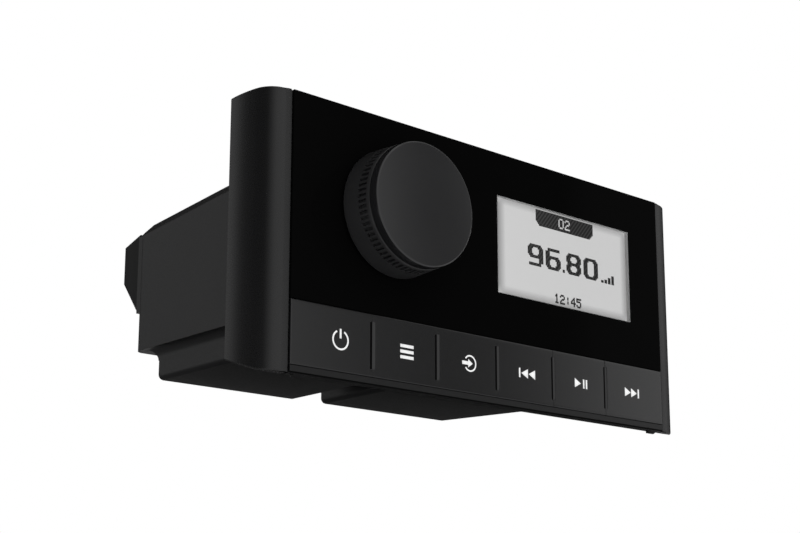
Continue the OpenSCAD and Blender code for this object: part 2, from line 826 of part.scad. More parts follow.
module encoder_body() {
    half = encoder_side / 2;
    color("#4c4e52") difference() {
        union() {
            translate([-knob_x, 0, axis_z]) block([-half, encoder_front, -half], [half, y_board, half]);
            rod_y(-knob_x, axis_z, y_lens - bush_front_h, encoder_front + touch, bush_r);
        }
        rod_y(-knob_x, axis_z, y_lens - bush_front_h - over, y_board, bush_bore_r);
        rod_y(-knob_x, axis_z, encoder_front + encoder_roof_t, y_board + over, rotor_disc_r + rotor_room);
    }
}

module encoder_nut() {
    color("#b9bcbf") difference() {
        translate([-knob_x, y_plate - nut_t, axis_z]) rotate([-90, 0, 0])
            cylinder(h = nut_t, r = nut_r, $fn = 6);
        rod_y(-knob_x, axis_z, y_plate - nut_t - over, y_plate + over, bush_r + touch);
    }
}

module encoder_rotor() {
    disc_front = encoder_front + encoder_roof_t + run_fit;
    color("#cfd1d3") difference() {
        union() {
            rod_y(-knob_x, axis_z, y_lens - bush_front_h + fit, disc_front + touch, rotor_r);
            rod_y(-knob_x, axis_z, disc_front, y_board - dome_h - fit, rotor_disc_r);
        }
        rod_y(-knob_x, axis_z, y_lens - bush_front_h - over, y_board, shaft_r + run_fit);
    }
}

module encoder_shaft() {
    color("#b4b7ba") rod_y(-knob_x, axis_z, y_lens - cap_joint_h + fit, shaft_end, shaft_r);
}

module push_dome() {
    color("#d4d2c4") translate([-knob_x, y_board, axis_z]) rotate([90, 0, 0])
        cylinder(h = dome_h, r1 = dome_r, r2 = dome_top_r);
}

module knob_grip() {
    bore = shaft_r + touch / 2;
    wall_in = grip_joint_r - grip_wall;
    color("#1d1e20") on_knob_axis() difference() {
        rotate_extrude() polygon([[knob_base_r - grip_wall, knob_gap], [knob_base_r, knob_gap],
            [grip_joint_r, cap_joint_h], [bore, cap_joint_h], [bore, hub_low_h], [hub_r, hub_low_h],
            [hub_r, cap_joint_h - web_t], [wall_in, cap_joint_h - web_t]]);
        for (i = [0:tick_count - 1])
            rotate([0, 0, i * 360 / tick_count])
                translate([grip_joint_r - tick_depth, -tick_w / 2, cap_joint_h - tick_set - tick_len])
                    cube([over, tick_w, tick_len]);
    }
}

module knob_cap() {
    rim = grip_joint_r - touch;
    color("#303134") on_knob_axis() rotate_extrude()
        polygon([[0, cap_joint_h], [rim - cap_line_d, cap_joint_h],
            [rim - cap_line_d, cap_joint_h + cap_line_w], [rim, cap_joint_h + cap_line_w],
            [knob_front_r, knob_h - cap_bevel_h], [knob_front_r - cap_bevel, knob_h], [0, knob_h]]);
}

// Plan view of a screw cover: x across from its inner side, y back from its front.
// The hollow has the same centres, smaller radii and an open rear.
module cover_plan(inset) {
    rear = inset > 0 ? cover_d + over : cover_d;
    start = [inset, cover_front_r - inset * tan(cover_meet)];
    beyond = [(cover_front_r + over) / tan(cover_meet), -over];
    wide = 3 * cover_w;
    intersection() {
        translate([0, cover_front_r]) circle(cover_front_r - inset);
        polygon([[inset, -over], beyond, start]);
    }
    intersection() {
        translate([cover_w - cover_side_r, cover_d]) circle(cover_side_r - inset);
        polygon([start, beyond, [wide, -over], [wide, rear], [inset, rear]]);
    }
}

// The right screw cover: a hollow shell with closed ends, which clips over the wing of the flange
module screw_cover() {
    shift = [cover_in, y_lens + cover_set, 0];
    difference() {
        intersection() {
            translate(shift) translate([0, 0, -half_h]) linear_extrude(panel_h) cover_plan(0);
            along_x(0, panel_w) front_side(0);
        }
        intersection() {
            translate(shift) translate([0, 0, -half_h]) linear_extrude(panel_h) cover_plan(cover_wall);
            along_x(0, panel_w) front_side(cover_wall);
        }
        block([cover_in - over, y_flange - fit, -wing_low - fit],
            [cover_in + 2 * cover_wall, over, wing_high + fit]);
    }
}

module screw_cover_right() {
    color("#2a2b2d") screw_cover();
}

module screw_cover_left() {
    color("#2a2b2d") mirror([1, 0, 0]) screw_cover();
}

module main_board() {
    color("#1f5a3c") difference() {
        block([-main_half_w, main_front, main_z], [main_half_w, main_rear, main_top]);
        for (at = main_screw_at)
            translate([at[0], at[1], main_z - over])
                cylinder(h = board_t + 2 * over, r = main_screw_r + pilot_fit);
    }
}

module main_board_screws() {
    color("#8d9093") for (at = main_screw_at)
        translate([at[0], at[1], main_top])
            pan_screw(main_screw_r, main_head_r, main_head_t, board_t + standoff_h - screw_short);
}

module amplifier_chip() {
    color("#1a1b1d") block([pad_x - chip_w / 2, pad_front - chip_t, main_top],
        [pad_x + chip_w / 2, pad_front, pad_z + pad_h / 2 - 2]);
}

module tuner_can() {
    color("#b7babd") difference() {
        block([tuner_x, tuner_y, main_top], [tuner_x + tuner_w, tuner_y + tuner_l, main_top + tuner_h]);
        for (i = [1:3])
            translate([tuner_x + i * tuner_w / 4, tuner_y, main_top])
                block([-tuner_slot_w / 2, tuner_l / 4, tuner_h - tuner_slot_w / 2],
                    [tuner_slot_w / 2, 3 * tuner_l / 4, tuner_h + over]);
    }
}

module capacitors() {
    color("#2e3f66") for (i = [0:2])
        translate([capacitor_x + capacitor_pitch * i, capacitor_y, main_top]) {
            cylinder(h = capacitor_h, r = capacitor_r);
            translate([0, 0, capacitor_h])
                cylinder(h = capacitor_bevel, r1 = capacitor_r, r2 = capacitor_r - capacitor_bevel);
        }
}

// A ring wound with wire, on a post
module choke() {
    color("#6b3f22") translate([choke_x, choke_y, main_top]) {
        translate([0, 0, choke_post_h]) rotate_extrude() translate([choke_r, 0]) circle(choke_wire_r);
        cylinder(h = choke_post_h, r = choke_r - choke_wire_r / 2);
    }
}

module heat_sink() {
    wall_y = chassis_d;
    color("#1b1c1e") difference() {
        union() {
            along_x(sink_left, sink_right) polygon([[wall_y, -sink_root_drop], [sink_rear, sink_low],
                [sink_rear, sink_top], [wall_y, sink_root_top]]);
            block([pad_x - pad_w / 2, pad_front, pad_z - pad_h / 2],
                [pad_x + pad_w / 2, wall_y + touch, pad_z + pad_h / 2]);
        }
        for (i = [0:fin_slots - 1])
            translate([sink_left + fin_cheek + i * fin_pitch, wall_y, 0])
                block([0, sink_base_t, -sink_root_drop - over],
                    [fin_gap, sink_d + over, sink_root_top + over]);
        for (side = [-1, 1])
            rod_y(pad_x + side * sink_screw_x / 2, pad_z, wall_y - over, wall_y + sink_base_t - sink_hole_floor,
                sink_screw_r + pilot_fit);
    }
}

module heat_sink_screws() {
    color("#8d9093") for (side = [-1, 1])
        translate([pad_x + side * sink_screw_x / 2, rear_in, pad_z]) rotate([90, 0, 0])
            pan_screw(sink_screw_r, sink_head_r, sink_head_t, chassis_wall + sink_base_t - 0.6);
}

module ribbon_sockets() {
    half = ribbon_socket_w / 2;
    color("#e8e4d6") translate([ribbon_x, 0, main_top]) {
        block([-half, y_board_rear, 0], [half, y_board_rear + ribbon_socket_t, ribbon_socket_h]);
        block([-half, main_front + 1, 0], [half, main_front + 1 + ribbon_socket_h, ribbon_socket_t]);
    }
}

// Flat cable that drops from the front board to the main board
module ribbon_cable() {
    y0 = y_board_rear + ribbon_socket_t;
    y1 = main_front + 1;
    z0 = main_top + ribbon_socket_h / 2;
    z1 = main_top + ribbon_socket_t / 2;
    color("#d7d2c0") along_x(ribbon_x - ribbon_w / 2, ribbon_x + ribbon_w / 2)
        polygon([[y0, z0], [ribbon_bend, z0], [ribbon_bend, z1], [y1, z1], [y1, z1 + ribbon_t],
            [ribbon_bend + ribbon_t, z1 + ribbon_t], [ribbon_bend + ribbon_t, z0 + ribbon_t],
            [y0, z0 + ribbon_t]]);
}

// A rectangular socket shell that stands on the main board and looks out of the rear wall
module socket_shell(x, w) {
    half = w / 2;
    difference() {
        block([x - half, socket_front, main_top], [x + half, socket_rear, main_top + power_h]);
        block([x - half + socket_wall, socket_rear - socket_depth, main_top + socket_wall],
            [x + half - socket_wall, socket_rear + over, main_top + power_h - socket_wall]);
    }
}

// Two rows of round pins on the floor of a socket
module socket_pins(x, columns, pitch) {
    for (i = [0:columns - 1], row = [-1, 1])
        rod_y(x + (i - (columns - 1) / 2) * pitch, main_top + power_h / 2 + row * pitch / 2,
            socket_rear - socket_depth, socket_rear - socket_depth + pin_len, pin_r);
}

module power_socket() {
    color("#17181a") socket_shell(power_x, power_w);
}

module power_pins() {
    color("#c8b26a") socket_pins(power_x, 6, power_pin_pitch);
}

module line_socket() {
    color("#17181a") socket_shell(line_x, line_w);
}

module line_pins() {
    color("#c8b26a") socket_pins(line_x, 3, line_pin_pitch);
}

module antenna_socket() {
    zc = main_top + antenna_out_r;
    foot = 0.8 * antenna_out_r;
    color("#c4c6c8") difference() {
        union() {
            rod_y(antenna_x, zc, socket_front, socket_rear, antenna_out_r);
            translate([antenna_x, 0, 0])
                block([-foot, socket_front, main_top], [foot, rear_in - fit, zc]);
        }
        rod_y(antenna_x, zc, socket_rear - antenna_len, socket_rear + over, antenna_r);
    }
}

rear_housing();
belly_left();
belly_right();
mounting_flange();
fascia_frame();
lens();
display_window();
lcd_panel();
lcd_frame();
backlight();
front_board();
key_switches();
key(0);  // key_power
key(1);  // key_menu
key(2);  // key_source
key(3);  // key_previous
key(4);  // key_play
key(5);  // key_next
encoder_body();
encoder_nut();
encoder_rotor();
encoder_shaft();
push_dome();
knob_grip();
knob_cap();
screw_cover_left();
screw_cover_right();
panel_gasket();
fascia_seal();
main_board();
amplifier_chip();
tuner_can();
capacitors();
choke();
heat_sink();
heat_sink_screws();
ribbon_cable();
ribbon_sockets();
power_socket();
power_pins();
line_socket();
line_pins();
antenna_socket();
front_board_screws();
main_board_screws();
fascia_screws();
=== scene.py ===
"""Looks of the flush mounted marine stereo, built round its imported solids.

X runs to the right, Y into the dashboard and Z up. Shapes are worked out in
millimetres and put into their meshes in metres.
"""
import math

import bmesh
import bpy
import numpy as np
from mathutils import Matrix, Vector


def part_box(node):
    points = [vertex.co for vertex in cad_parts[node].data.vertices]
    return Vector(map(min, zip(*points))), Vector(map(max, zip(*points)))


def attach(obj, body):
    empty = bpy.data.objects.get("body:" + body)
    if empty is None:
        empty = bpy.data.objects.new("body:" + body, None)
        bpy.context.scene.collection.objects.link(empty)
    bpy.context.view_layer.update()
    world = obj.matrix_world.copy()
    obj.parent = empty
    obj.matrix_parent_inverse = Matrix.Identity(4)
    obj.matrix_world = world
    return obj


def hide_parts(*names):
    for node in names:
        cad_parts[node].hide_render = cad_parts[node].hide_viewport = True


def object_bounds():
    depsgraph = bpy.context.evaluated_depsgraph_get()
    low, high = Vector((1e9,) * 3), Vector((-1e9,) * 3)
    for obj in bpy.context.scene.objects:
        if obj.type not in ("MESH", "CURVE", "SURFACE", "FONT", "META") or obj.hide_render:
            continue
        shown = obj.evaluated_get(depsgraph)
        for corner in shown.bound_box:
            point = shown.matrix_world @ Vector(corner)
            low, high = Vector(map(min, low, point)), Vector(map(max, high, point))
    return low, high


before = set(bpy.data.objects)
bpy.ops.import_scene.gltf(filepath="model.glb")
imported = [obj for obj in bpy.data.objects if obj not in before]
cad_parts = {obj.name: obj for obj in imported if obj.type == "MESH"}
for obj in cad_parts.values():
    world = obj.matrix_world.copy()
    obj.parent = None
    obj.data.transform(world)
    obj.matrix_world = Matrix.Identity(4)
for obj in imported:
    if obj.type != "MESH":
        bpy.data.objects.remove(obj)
cad_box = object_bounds()

MM = 0.001
scene = bpy.context.scene
scene.view_settings.view_transform = "Standard"


def corners(node):
    """Lowest and highest corner of a node, in millimetres."""
    low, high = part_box(node)
    return np.array(low) / MM, np.array(high) / MM


# Camera at the photograph's viewing angle: below the front, to its left

CAMERA_PLACE = (-290.8, -307.9, -109.0)
CAMERA_FORWARD = (0.6609, 0.7205, 0.2100)
CAMERA_RIGHT = (0.7375, -0.6753, -0.0037)
FOCAL_PIXELS = 1498.1
IMAGE_WIDTH = 800
SENSOR_WIDTH = 36
SHIFT_RIGHT = -0.05
SHIFT_UP = 0.10

camera_data = bpy.data.cameras.new("camera")
camera_data.sensor_fit = "HORIZONTAL"
camera_data.sensor_width = SENSOR_WIDTH
camera_data.lens = FOCAL_PIXELS * SENSOR_WIDTH / IMAGE_WIDTH
camera_data.shift_x = SHIFT_RIGHT
camera_data.shift_y = SHIFT_UP
camera_data.clip_start = 0.01
camera_data.clip_end = 50
camera = bpy.data.objects.new("camera", camera_data)
scene.collection.objects.link(camera)
look = Vector(CAMERA_FORWARD).normalized()
side = Vector(CAMERA_RIGHT)
side = (side - look * side.dot(look)).normalized()
up = side.cross(look)
turn = Matrix((side, up, -look)).transposed()
camera.matrix_world = Matrix.Translation(Vector(CAMERA_PLACE) * MM) @ turn.to_4x4()
scene.camera = camera


# Node and colour helpers

def linear(code):
    """The linear colour of an sRGB hex value: every channel goes through the sRGB curve backwards."""
    channels = np.array([int(code[i:i + 2], 16) for i in (1, 3, 5)]) / 255
    straight = channels / 12.92
    curved = ((channels + 0.055) / 1.055) ** 2.4
    return (*np.where(channels <= 0.04045, straight, curved).tolist(), 1.0)


def add(tree, kind, settings=(), links=()):
    """Adds a node. Settings are its attributes, links are its inputs: a value, or another node's output."""
    node = tree.nodes.new(kind)
    for name, value in dict(settings).items():
        setattr(node, name, value)
    for name, value in dict(links).items():
        if isinstance(value, bpy.types.NodeSocket):
            tree.links.new(value, node.inputs[name])
        else:
            node.inputs[name].default_value = value
    return node


def new_material(name):
    """An empty material, its tree and the object coordinates of its piece."""
    material = bpy.data.materials.new(name)
    material.use_nodes = True
    tree = material.node_tree
    tree.nodes.clear()
    place = add(tree, "ShaderNodeTexCoord").outputs["Object"]
    return material, tree, place


def per_metre(size_mm):
    """Scale of a texture whose features are this many millimetres across."""
    return 1 / (size_mm * MM)


def shade(tree, links):
    """Ends a tree in one principled shader with these inputs."""
    surface = add(tree, "ShaderNodeBsdfPrincipled", (), links)
    add(tree, "ShaderNodeOutputMaterial", (), {"Surface": surface.outputs["BSDF"]})


# Materials

def moulded(name, dark, light, roughness, grain_mm, depth_mm, level=0.5, patch_mm=14, rim=None):
    """Moulded plastic: fine spark-eroded grain as bump, and a slow drift of tone and sheen.

    A rim is a depth in millimetres, and the colour of all that lies behind it, which paints shade there.
    """
    material, tree, place = new_material(name)
    grain = add(tree, "ShaderNodeTexNoise", {}, {
        "Vector": place, "Scale": per_metre(grain_mm), "Detail": 3.0, "Roughness": 0.6})
    patch = add(tree, "ShaderNodeTexNoise", {}, {
        "Vector": place, "Scale": per_metre(patch_mm), "Detail": 2.0})
    tone = add(tree, "ShaderNodeMix", {"data_type": "RGBA"}, {
        0: patch.outputs["Fac"], 6: linear(dark), 7: linear(light)})
    # Behind the rim depth the tone becomes the rim's colour: painted shade
    if rim:
        split = add(tree, "ShaderNodeSeparateXYZ", {}, {"Vector": place})
        behind = add(tree, "ShaderNodeMath", {"operation": "GREATER_THAN"}, {
            0: split.outputs["Y"], 1: rim[0] * MM})
        tone = add(tree, "ShaderNodeMix", {"data_type": "RGBA"}, {
            0: behind.outputs[0], 6: tone.outputs[2], 7: linear(rim[1])})
    sheen = add(tree, "ShaderNodeMapRange", {}, {
        "Value": grain.outputs["Fac"], "From Min": 0.3, "From Max": 0.7,
        "To Min": roughness * 0.9, "To Max": roughness * 1.1})
    bump = add(tree, "ShaderNodeBump", {}, {
        "Height": grain.outputs["Fac"], "Distance": depth_mm * MM, "Strength": 1.0})
    shade(tree, {
        "Base Color": tone.outputs[2], "Roughness": sheen.outputs["Result"],
        "Normal": bump.outputs["Normal"], "IOR": 1.5, "Specular IOR Level": level})
    return material


def metal(name, dark, light, roughness, grain_mm):
    """Plated or rolled metal: a bright reflection broken by faint cloudy patches from the bath."""
    material, tree, place = new_material(name)
    cloud = add(tree, "ShaderNodeTexNoise", {}, {
        "Vector": place, "Scale": per_metre(grain_mm), "Detail": 4.0})
    tone = add(tree, "ShaderNodeMix", {"data_type": "RGBA"}, {
        0: cloud.outputs["Fac"], 6: linear(dark), 7: linear(light)})
    sheen = add(tree, "ShaderNodeMapRange", {}, {
        "Value": cloud.outputs["Fac"], "To Min": roughness * 0.75, "To Max": roughness * 1.25})
    shade(tree, {
        "Base Color": tone.outputs[2], "Metallic": 1.0, "Roughness": sheen.outputs["Result"]})
    return material


# Black ABS of the chassis: spark-eroded in the mould, so it scatters light in a soft grey sheen
chassis_abs = moulded("sparked_abs_chassis", "#131314", "#171718", 0.42, 0.5, 0.006, 0.48)
# Black ABS of the front frame and lip, a finer grain
fascia_abs = moulded("fine_sparked_abs_fascia", "#0e0e0f", "#121213", 0.34, 0.35, 0.003, 0.34)
# Satin ABS of the screw covers: smooth enough to show broad soft reflections along their curve
cover_abs = moulded("satin_abs_covers", "#121213", "#151516", 0.28, 0.3, 0.0005, 0.46)
# Matt coated polycarbonate of the keys
key_coat = moulded("matt_coated_polycarbonate_keys", "#131314", "#171718", 0.22, 0.3, 0.0008, 0.57)
# Near-black matt strips on the floors of the grooves between the keys: painted shade of the grooves
groove_shade_black = moulded("painted_shade_groove_strips", "#050505", "#080808", 0.7, 0.4, 0.002, 0.03)
# Black ABS of the knob's grip
grip_abs = moulded("moulded_abs_knob_grip", "#262627", "#2b2b2c", 0.36, 0.3, 0.002)
# Matt black of the knob's cap: its face keeps its tone, and its rim behind the face is a darker grey, painted
# shade on the side ring
FACE_DEPTH = corners("knob_cap")[0][1] + 0.25
cap_with_shaded_rim = moulded(
    "matt_knob_cap_painted_rim_shade", "#252526", "#2a2a2b", 0.18, 0.25, 0.0008, rim=(FACE_DEPTH, "#1a1a1b"))
# Glass-filled nylon of sockets
socket_nylon = moulded("glass_filled_nylon_sockets", "#18181a", "#222224", 0.5, 0.3, 0.008)
# White polycarbonate of the display's holder
holder_white = moulded("white_polycarbonate_holder", "#d8d8d4", "#e4e4e0", 0.45, 0.5, 0.003)
# Grey print round the edge of the window, which the display lights from the side
wall_print = moulded("grey_print_window_edge", "#ececec", "#f4f4f4", 0.6, 0.5, 0.002)
# Opal acrylic that spreads the display's light
opal_acrylic = moulded("opal_acrylic_backlight", "#eef0f0", "#f8f9f9", 0.35, 0.6, 0.002)
# Grey nylon of the encoder's rotor
rotor_nylon = moulded("grey_nylon_rotor", "#6c6e70", "#7a7c7e", 0.5, 0.4, 0.004)
# Dark phenolic of switches and the encoder's body
switch_resin = moulded("phenolic_switches", "#26262a", "#303034", 0.55, 0.4, 0.006)
# Epoxy that an integrated circuit is cast in
chip_epoxy = moulded("cast_epoxy_chip", "#1a1a1b", "#242425", 0.6, 0.25, 0.01)
# Shrunk sleeve on the capacitors
sleeve_film = moulded("shrunk_sleeve_capacitors", "#1d2440", "#283056", 0.3, 1.2, 0.004)
# White film of the flat cable
cable_film = moulded("polyester_film_cable", "#d9dbdc", "#e9ebec", 0.35, 1.5, 0.003)
# Closed-cell foam rubber: a dull skin with open pores at its cut edges
foam_rubber = moulded("closed_cell_foam_gasket", "#151515", "#242424", 0.9, 0.45, 0.06)
# Smooth near-black rubber of the strips under the lip and in the seams beside the covers, which takes up
# almost all light: painted shade of the shadow gaps there
lip_shade_black = moulded("painted_shade_lip_and_seam_strips", "#050505", "#080808", 0.7, 0.6, 0.004, 0.05)
# Zinc plated steel of screws, nut, can and shaft
zinc_steel = metal("zinc_plated_steel", "#a9adb1", "#c6c9cc", 0.32, 1.5)
# Gold flashed brass of the pins
flashed_brass = metal("gold_flashed_brass_pins", "#b8933c", "#d2b25c", 0.28, 0.8)
# Nickel plated brass of the antenna socket
nickel_brass = metal("nickel_plated_antenna_socket", "#b3b0a8", "#cfccc4", 0.25, 2.0)
# Enamelled copper of the choke
enamel_copper = metal("enamelled_copper_choke", "#8a4a1e", "#b5662c", 0.3, 0.5)


def anodised(name, dark, light, line_mm):
    """Extruded aluminium, anodised black: die lines run along the fins and streak the sheen."""
    material, tree, place = new_material(name)
    drawn = add(tree, "ShaderNodeMapping", {}, {"Vector": place, "Scale": (1.0, 0.25, 0.02)})
    streak = add(tree, "ShaderNodeTexNoise", {}, {
        "Vector": drawn.outputs["Vector"], "Scale": per_metre(line_mm), "Detail": 3.0})
    tone = add(tree, "ShaderNodeMix", {"data_type": "RGBA"}, {
        0: streak.outputs["Fac"], 6: linear(dark), 7: linear(light)})
    sheen = add(tree, "ShaderNodeMapRange", {}, {
        "Value": streak.outputs["Fac"], "To Min": 0.34, "To Max": 0.52})
    bump = add(tree, "ShaderNodeBump", {}, {
        "Height": streak.outputs["Fac"], "Distance": 0.006 * MM, "Strength": 1.0})
    shade(tree, {
        "Base Color": tone.outputs[2], "Roughness": sheen.outputs["Result"],
        "Normal": bump.outputs["Normal"], "IOR": 1.6, "Specular IOR Level": 0.12})
    return material


def circuit(name, mask_dark, mask_light, track_mm):
    """Solder mask over copper: straight tracks show as paler, slightly raised lanes in the green."""
    material, tree, place = new_material(name)
    lanes = add(tree, "ShaderNodeTexBrick", {"offset": 0.5, "squash": 1.0}, {
        "Vector": place, "Scale": per_metre(track_mm), "Mortar Size": 0.12, "Brick Width": 2.6,
        "Row Height": 0.55, "Color1": linear(mask_dark), "Color2": linear(mask_dark),
        "Mortar": linear(mask_light)})
    bump = add(tree, "ShaderNodeBump", {}, {
        "Height": lanes.outputs["Fac"], "Distance": 0.03 * MM, "Strength": 0.6})
    shade(tree, {
        "Base Color": lanes.outputs["Color"], "Roughness": 0.32,
        "Normal": bump.outputs["Normal"], "IOR": 1.5})
    return material


def tinted_acrylic(name, colour, level):
    """Polished black acrylic with an anti-glare coat: almost no colour and a faint sharp mirror image."""
    material, tree, place = new_material(name)
    wipe = add(tree, "ShaderNodeTexNoise", {}, {"Vector": place, "Scale": per_metre(22), "Detail": 4.0})
    polish = add(tree, "ShaderNodeMapRange", {}, {
        "Value": wipe.outputs["Fac"], "From Min": 0.35, "From Max": 0.65, "To Min": 0.03, "To Max": 0.06})
    tint = add(tree, "ShaderNodeMix", {"data_type": "RGBA"}, {
        0: wipe.outputs["Fac"], 6: linear(colour), 7: linear("#0b0b0b")})
    shade(tree, {
        "Base Color": tint.outputs[2], "Roughness": polish.outputs["Result"], "IOR": 1.49,
        "Specular IOR Level": level})
    return material


WINDOW_LOW, WINDOW_HIGH = corners("display_window")


def clear_acrylic(name, level, lean):
    """Clear polished acrylic with the same coat: the display shows through it, with a trace of haze.

    Its faces lean a little to the left, so that it mirrors no lamp into the display.
    """
    material, tree, place = new_material(name)
    wipe = add(tree, "ShaderNodeTexNoise", {}, {"Vector": place, "Scale": per_metre(22), "Detail": 4.0})
    polish = add(tree, "ShaderNodeMapRange", {}, {
        "Value": wipe.outputs["Fac"], "To Min": 0.0, "To Max": 0.01})
    split = add(tree, "ShaderNodeSeparateXYZ", {}, {"Vector": place})
    tilt = add(tree, "ShaderNodeBump", {}, {
        "Height": split.outputs["X"], "Distance": math.tan(math.radians(lean)), "Strength": 1.0})
    shade(tree, {
        "Base Color": linear("#fafafa"), "Roughness": polish.outputs["Result"], "IOR": 1.49,
        "Normal": tilt.outputs["Normal"], "Transmission Weight": 1.0, "Specular IOR Level": level})
    return material


DISPLAY_GLOW = 0.69
DISPLAY_EDGE_LOSS = 0.63
DISPLAY_EDGE = 3.4
LIT_LEFT = WINDOW_LOW[0] + 1.4
LIT_RIGHT = WINDOW_HIGH[0] + 1.0
LIT_BOTTOM = WINDOW_LOW[2] - 0.3
LIT_TOP = WINDOW_HIGH[2] + 1.4
CRYSTAL_LINE = 1.0
CRYSTAL_SLANT = -40
CRYSTAL_DARK = 0.015
CRYSTAL_LIGHT = 0.054
# Glow of the white legends on the keys: painted light
LEGEND_PAINTED_GLOW = 0.32


def lit_glass(name):
    """Lit display glass: an even pale ground that loses light along each edge, and less in its corners.

    On the right and at the top the loss ends beyond the glass, on the walls.
    """
    material, tree, place = new_material(name)
    split = add(tree, "ShaderNodeSeparateXYZ", {}, {"Vector": place})
    fades = []
    for axis, low, high in (("X", LIT_LEFT, LIT_RIGHT), ("Z", LIT_BOTTOM, LIT_TOP)):
        middle = (low + high) / 2 * MM
        from_middle = add(tree, "ShaderNodeMath", {"operation": "SUBTRACT"}, {
            0: split.outputs[axis], 1: middle})
        away = add(tree, "ShaderNodeMath", {"operation": "ABSOLUTE"}, {0: from_middle.outputs[0]})
        half = (high - low) / 2
        fades.append(add(tree, "ShaderNodeMapRange", {}, {
            "Value": away.outputs[0], "From Min": (half - DISPLAY_EDGE) * MM, "From Max": half * MM,
            "To Min": 0.0, "To Max": 1.0}).outputs["Result"])
    both = add(tree, "ShaderNodeMath", {"operation": "ADD"}, {0: fades[0], 1: fades[1]})
    corner = add(tree, "ShaderNodeMath", {"operation": "MULTIPLY"}, {0: fades[0], 1: fades[1]})
    loss = add(tree, "ShaderNodeMath", {"operation": "MULTIPLY_ADD"}, {
        0: corner.outputs[0], 1: -2.0, 2: both.outputs[0]})
    glow = add(tree, "ShaderNodeMapRange", {}, {
        "Value": loss.outputs[0], "From Min": 0.0, "From Max": 1.0,
        "To Min": DISPLAY_GLOW, "To Max": DISPLAY_GLOW * (1 - DISPLAY_EDGE_LOSS)})
    shade(tree, {
        "Base Color": linear("#2a2a2a"), "Roughness": 0.4, "IOR": 1.5, "Specular IOR Level": 0.1,
        "Emission Color": linear("#fbfbfb"), "Emission Strength": glow.outputs["Result"]})
    return material


def dark_crystal(name):
    """Switched crystal of the display: dark grey with slanted lighter lines, as a dithered tone shows."""
    material, tree, place = new_material(name)
    slant = add(tree, "ShaderNodeMapping", {}, {
        "Vector": place, "Rotation": (0.0, math.radians(CRYSTAL_SLANT), 0.0)})
    lines = add(tree, "ShaderNodeTexWave", {"wave_type": "BANDS", "bands_direction": "X"}, {
        "Vector": slant.outputs["Vector"], "Distortion": 0.0,
        "Scale": per_metre(CRYSTAL_LINE) * math.pi / 10})
    tone = add(tree, "ShaderNodeMapRange", {}, {
        "Value": lines.outputs["Fac"], "To Min": CRYSTAL_DARK, "To Max": CRYSTAL_LIGHT})
    shade(tree, {
        "Base Color": linear("#020202"), "Roughness": 0.9, "IOR": 1.5, "Specular IOR Level": 0.0,
        "Emission Color": linear("#f6f6f6"), "Emission Strength": tone.outputs["Result"]})
    return material


def printed_white(name):
    """White legend of a key: dense, slightly uneven pad print, brightened by a faint glow, which is painted
    light.
    """
    material, tree, place = new_material(name)
    ink = add(tree, "ShaderNodeTexNoise", {}, {"Vector": place, "Scale": per_metre(0.6), "Detail": 2.0})
    tone = add(tree, "ShaderNodeMix", {"data_type": "RGBA"}, {
        0: ink.outputs["Fac"], 6: linear("#e9eaea"), 7: linear("#f6f7f7")})
    shade(tree, {
        "Base Color": tone.outputs[2], "Roughness": 0.5, "IOR": 1.5,
        "Emission Color": linear("#ffffff"), "Emission Strength": LEGEND_PAINTED_GLOW})
    return material


lens_acrylic = tinted_acrylic("tinted_acrylic_lens", "#090909", 0.004)
window_acrylic = clear_acrylic("clear_acrylic_window", 0.03, 2.5)
display_glass = lit_glass("lit_display_glass")
crystal = dark_crystal("switched_display_crystal")
legend = printed_white("pad_printed_white_legend")
black_anodised = anodised("black_anodised_aluminium", "#0c0c0d", "#131314", 0.6)
board_epoxy = circuit("glass_epoxy_circuit_board", "#12402a", "#2a6a44", 1.6)

FINISHES = {
    "rear_housing": chassis_abs, "belly_left": chassis_abs, "belly_right": chassis_abs,
    "mounting_flange": chassis_abs, "fascia_frame": fascia_abs, "lens": lens_acrylic,
    "display_window": window_acrylic, "lcd_panel": display_glass, "lcd_frame": holder_white,
    "backlight": opal_acrylic, "front_board": board_epoxy, "key_switches": switch_resin,
    "key_power": key_coat, "key_menu": key_coat, "key_source": key_coat, "key_previous": key_coat,
    "key_play": key_coat, "key_next": key_coat, "encoder_body": switch_resin, "encoder_nut": zinc_steel,
    "encoder_rotor": rotor_nylon, "encoder_shaft": zinc_steel, "push_dome": zinc_steel,
    "knob_grip": grip_abs, "knob_cap": cap_with_shaded_rim, "screw_cover_left": cover_abs,
    "screw_cover_right": cover_abs, "panel_gasket": foam_rubber, "fascia_seal": foam_rubber,
    "main_board": board_epoxy, "amplifier_chip": chip_epoxy, "tuner_can": zinc_steel,
    "capacitors": sleeve_film, "choke": enamel_copper, "heat_sink": black_anodised,
    "heat_sink_screws": zinc_steel, "ribbon_cable": cable_film, "ribbon_sockets": holder_white,
    "power_socket": socket_nylon, "power_pins": flashed_brass, "line_socket": socket_nylon,
    "line_pins": flashed_brass, "antenna_socket": nickel_brass, "front_board_screws": zinc_steel,
    "main_board_screws": zinc_steel, "fascia_screws": zinc_steel,
}
for node, finish in FINISHES.items():
    cad_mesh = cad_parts[node].data
    cad_mesh.materials.clear()
    cad_mesh.materials.append(finish)


# Mesh helpers

MERGE_NEW = 0.0005
SLIVER = 0.0002
MERGE_CAD = 0.002
FLAT_DEGREES = 0.4
ROUNDED_DEGREES = 32
SHARP_DEGREES = 30
EDGE_STEPS = 2


def grid_faces(rows, columns, wrap_rows=False, wrap_columns=False):
    """Quads of a grid: each joins a point with its neighbours in the next column and the next row."""
    row = np.arange(rows if wrap_rows else rows - 1)
    column = np.arange(columns if wrap_columns else columns - 1)
    row, column = np.meshgrid(row, column, indexing="ij")
    next_row = (row + 1) % rows
    next_column = (column + 1) % columns
    quads = (row * columns + column, row * columns + next_column,
             next_row * columns + next_column, next_row * columns + column)
    return np.stack(quads, axis=-1).reshape(-1, 4)


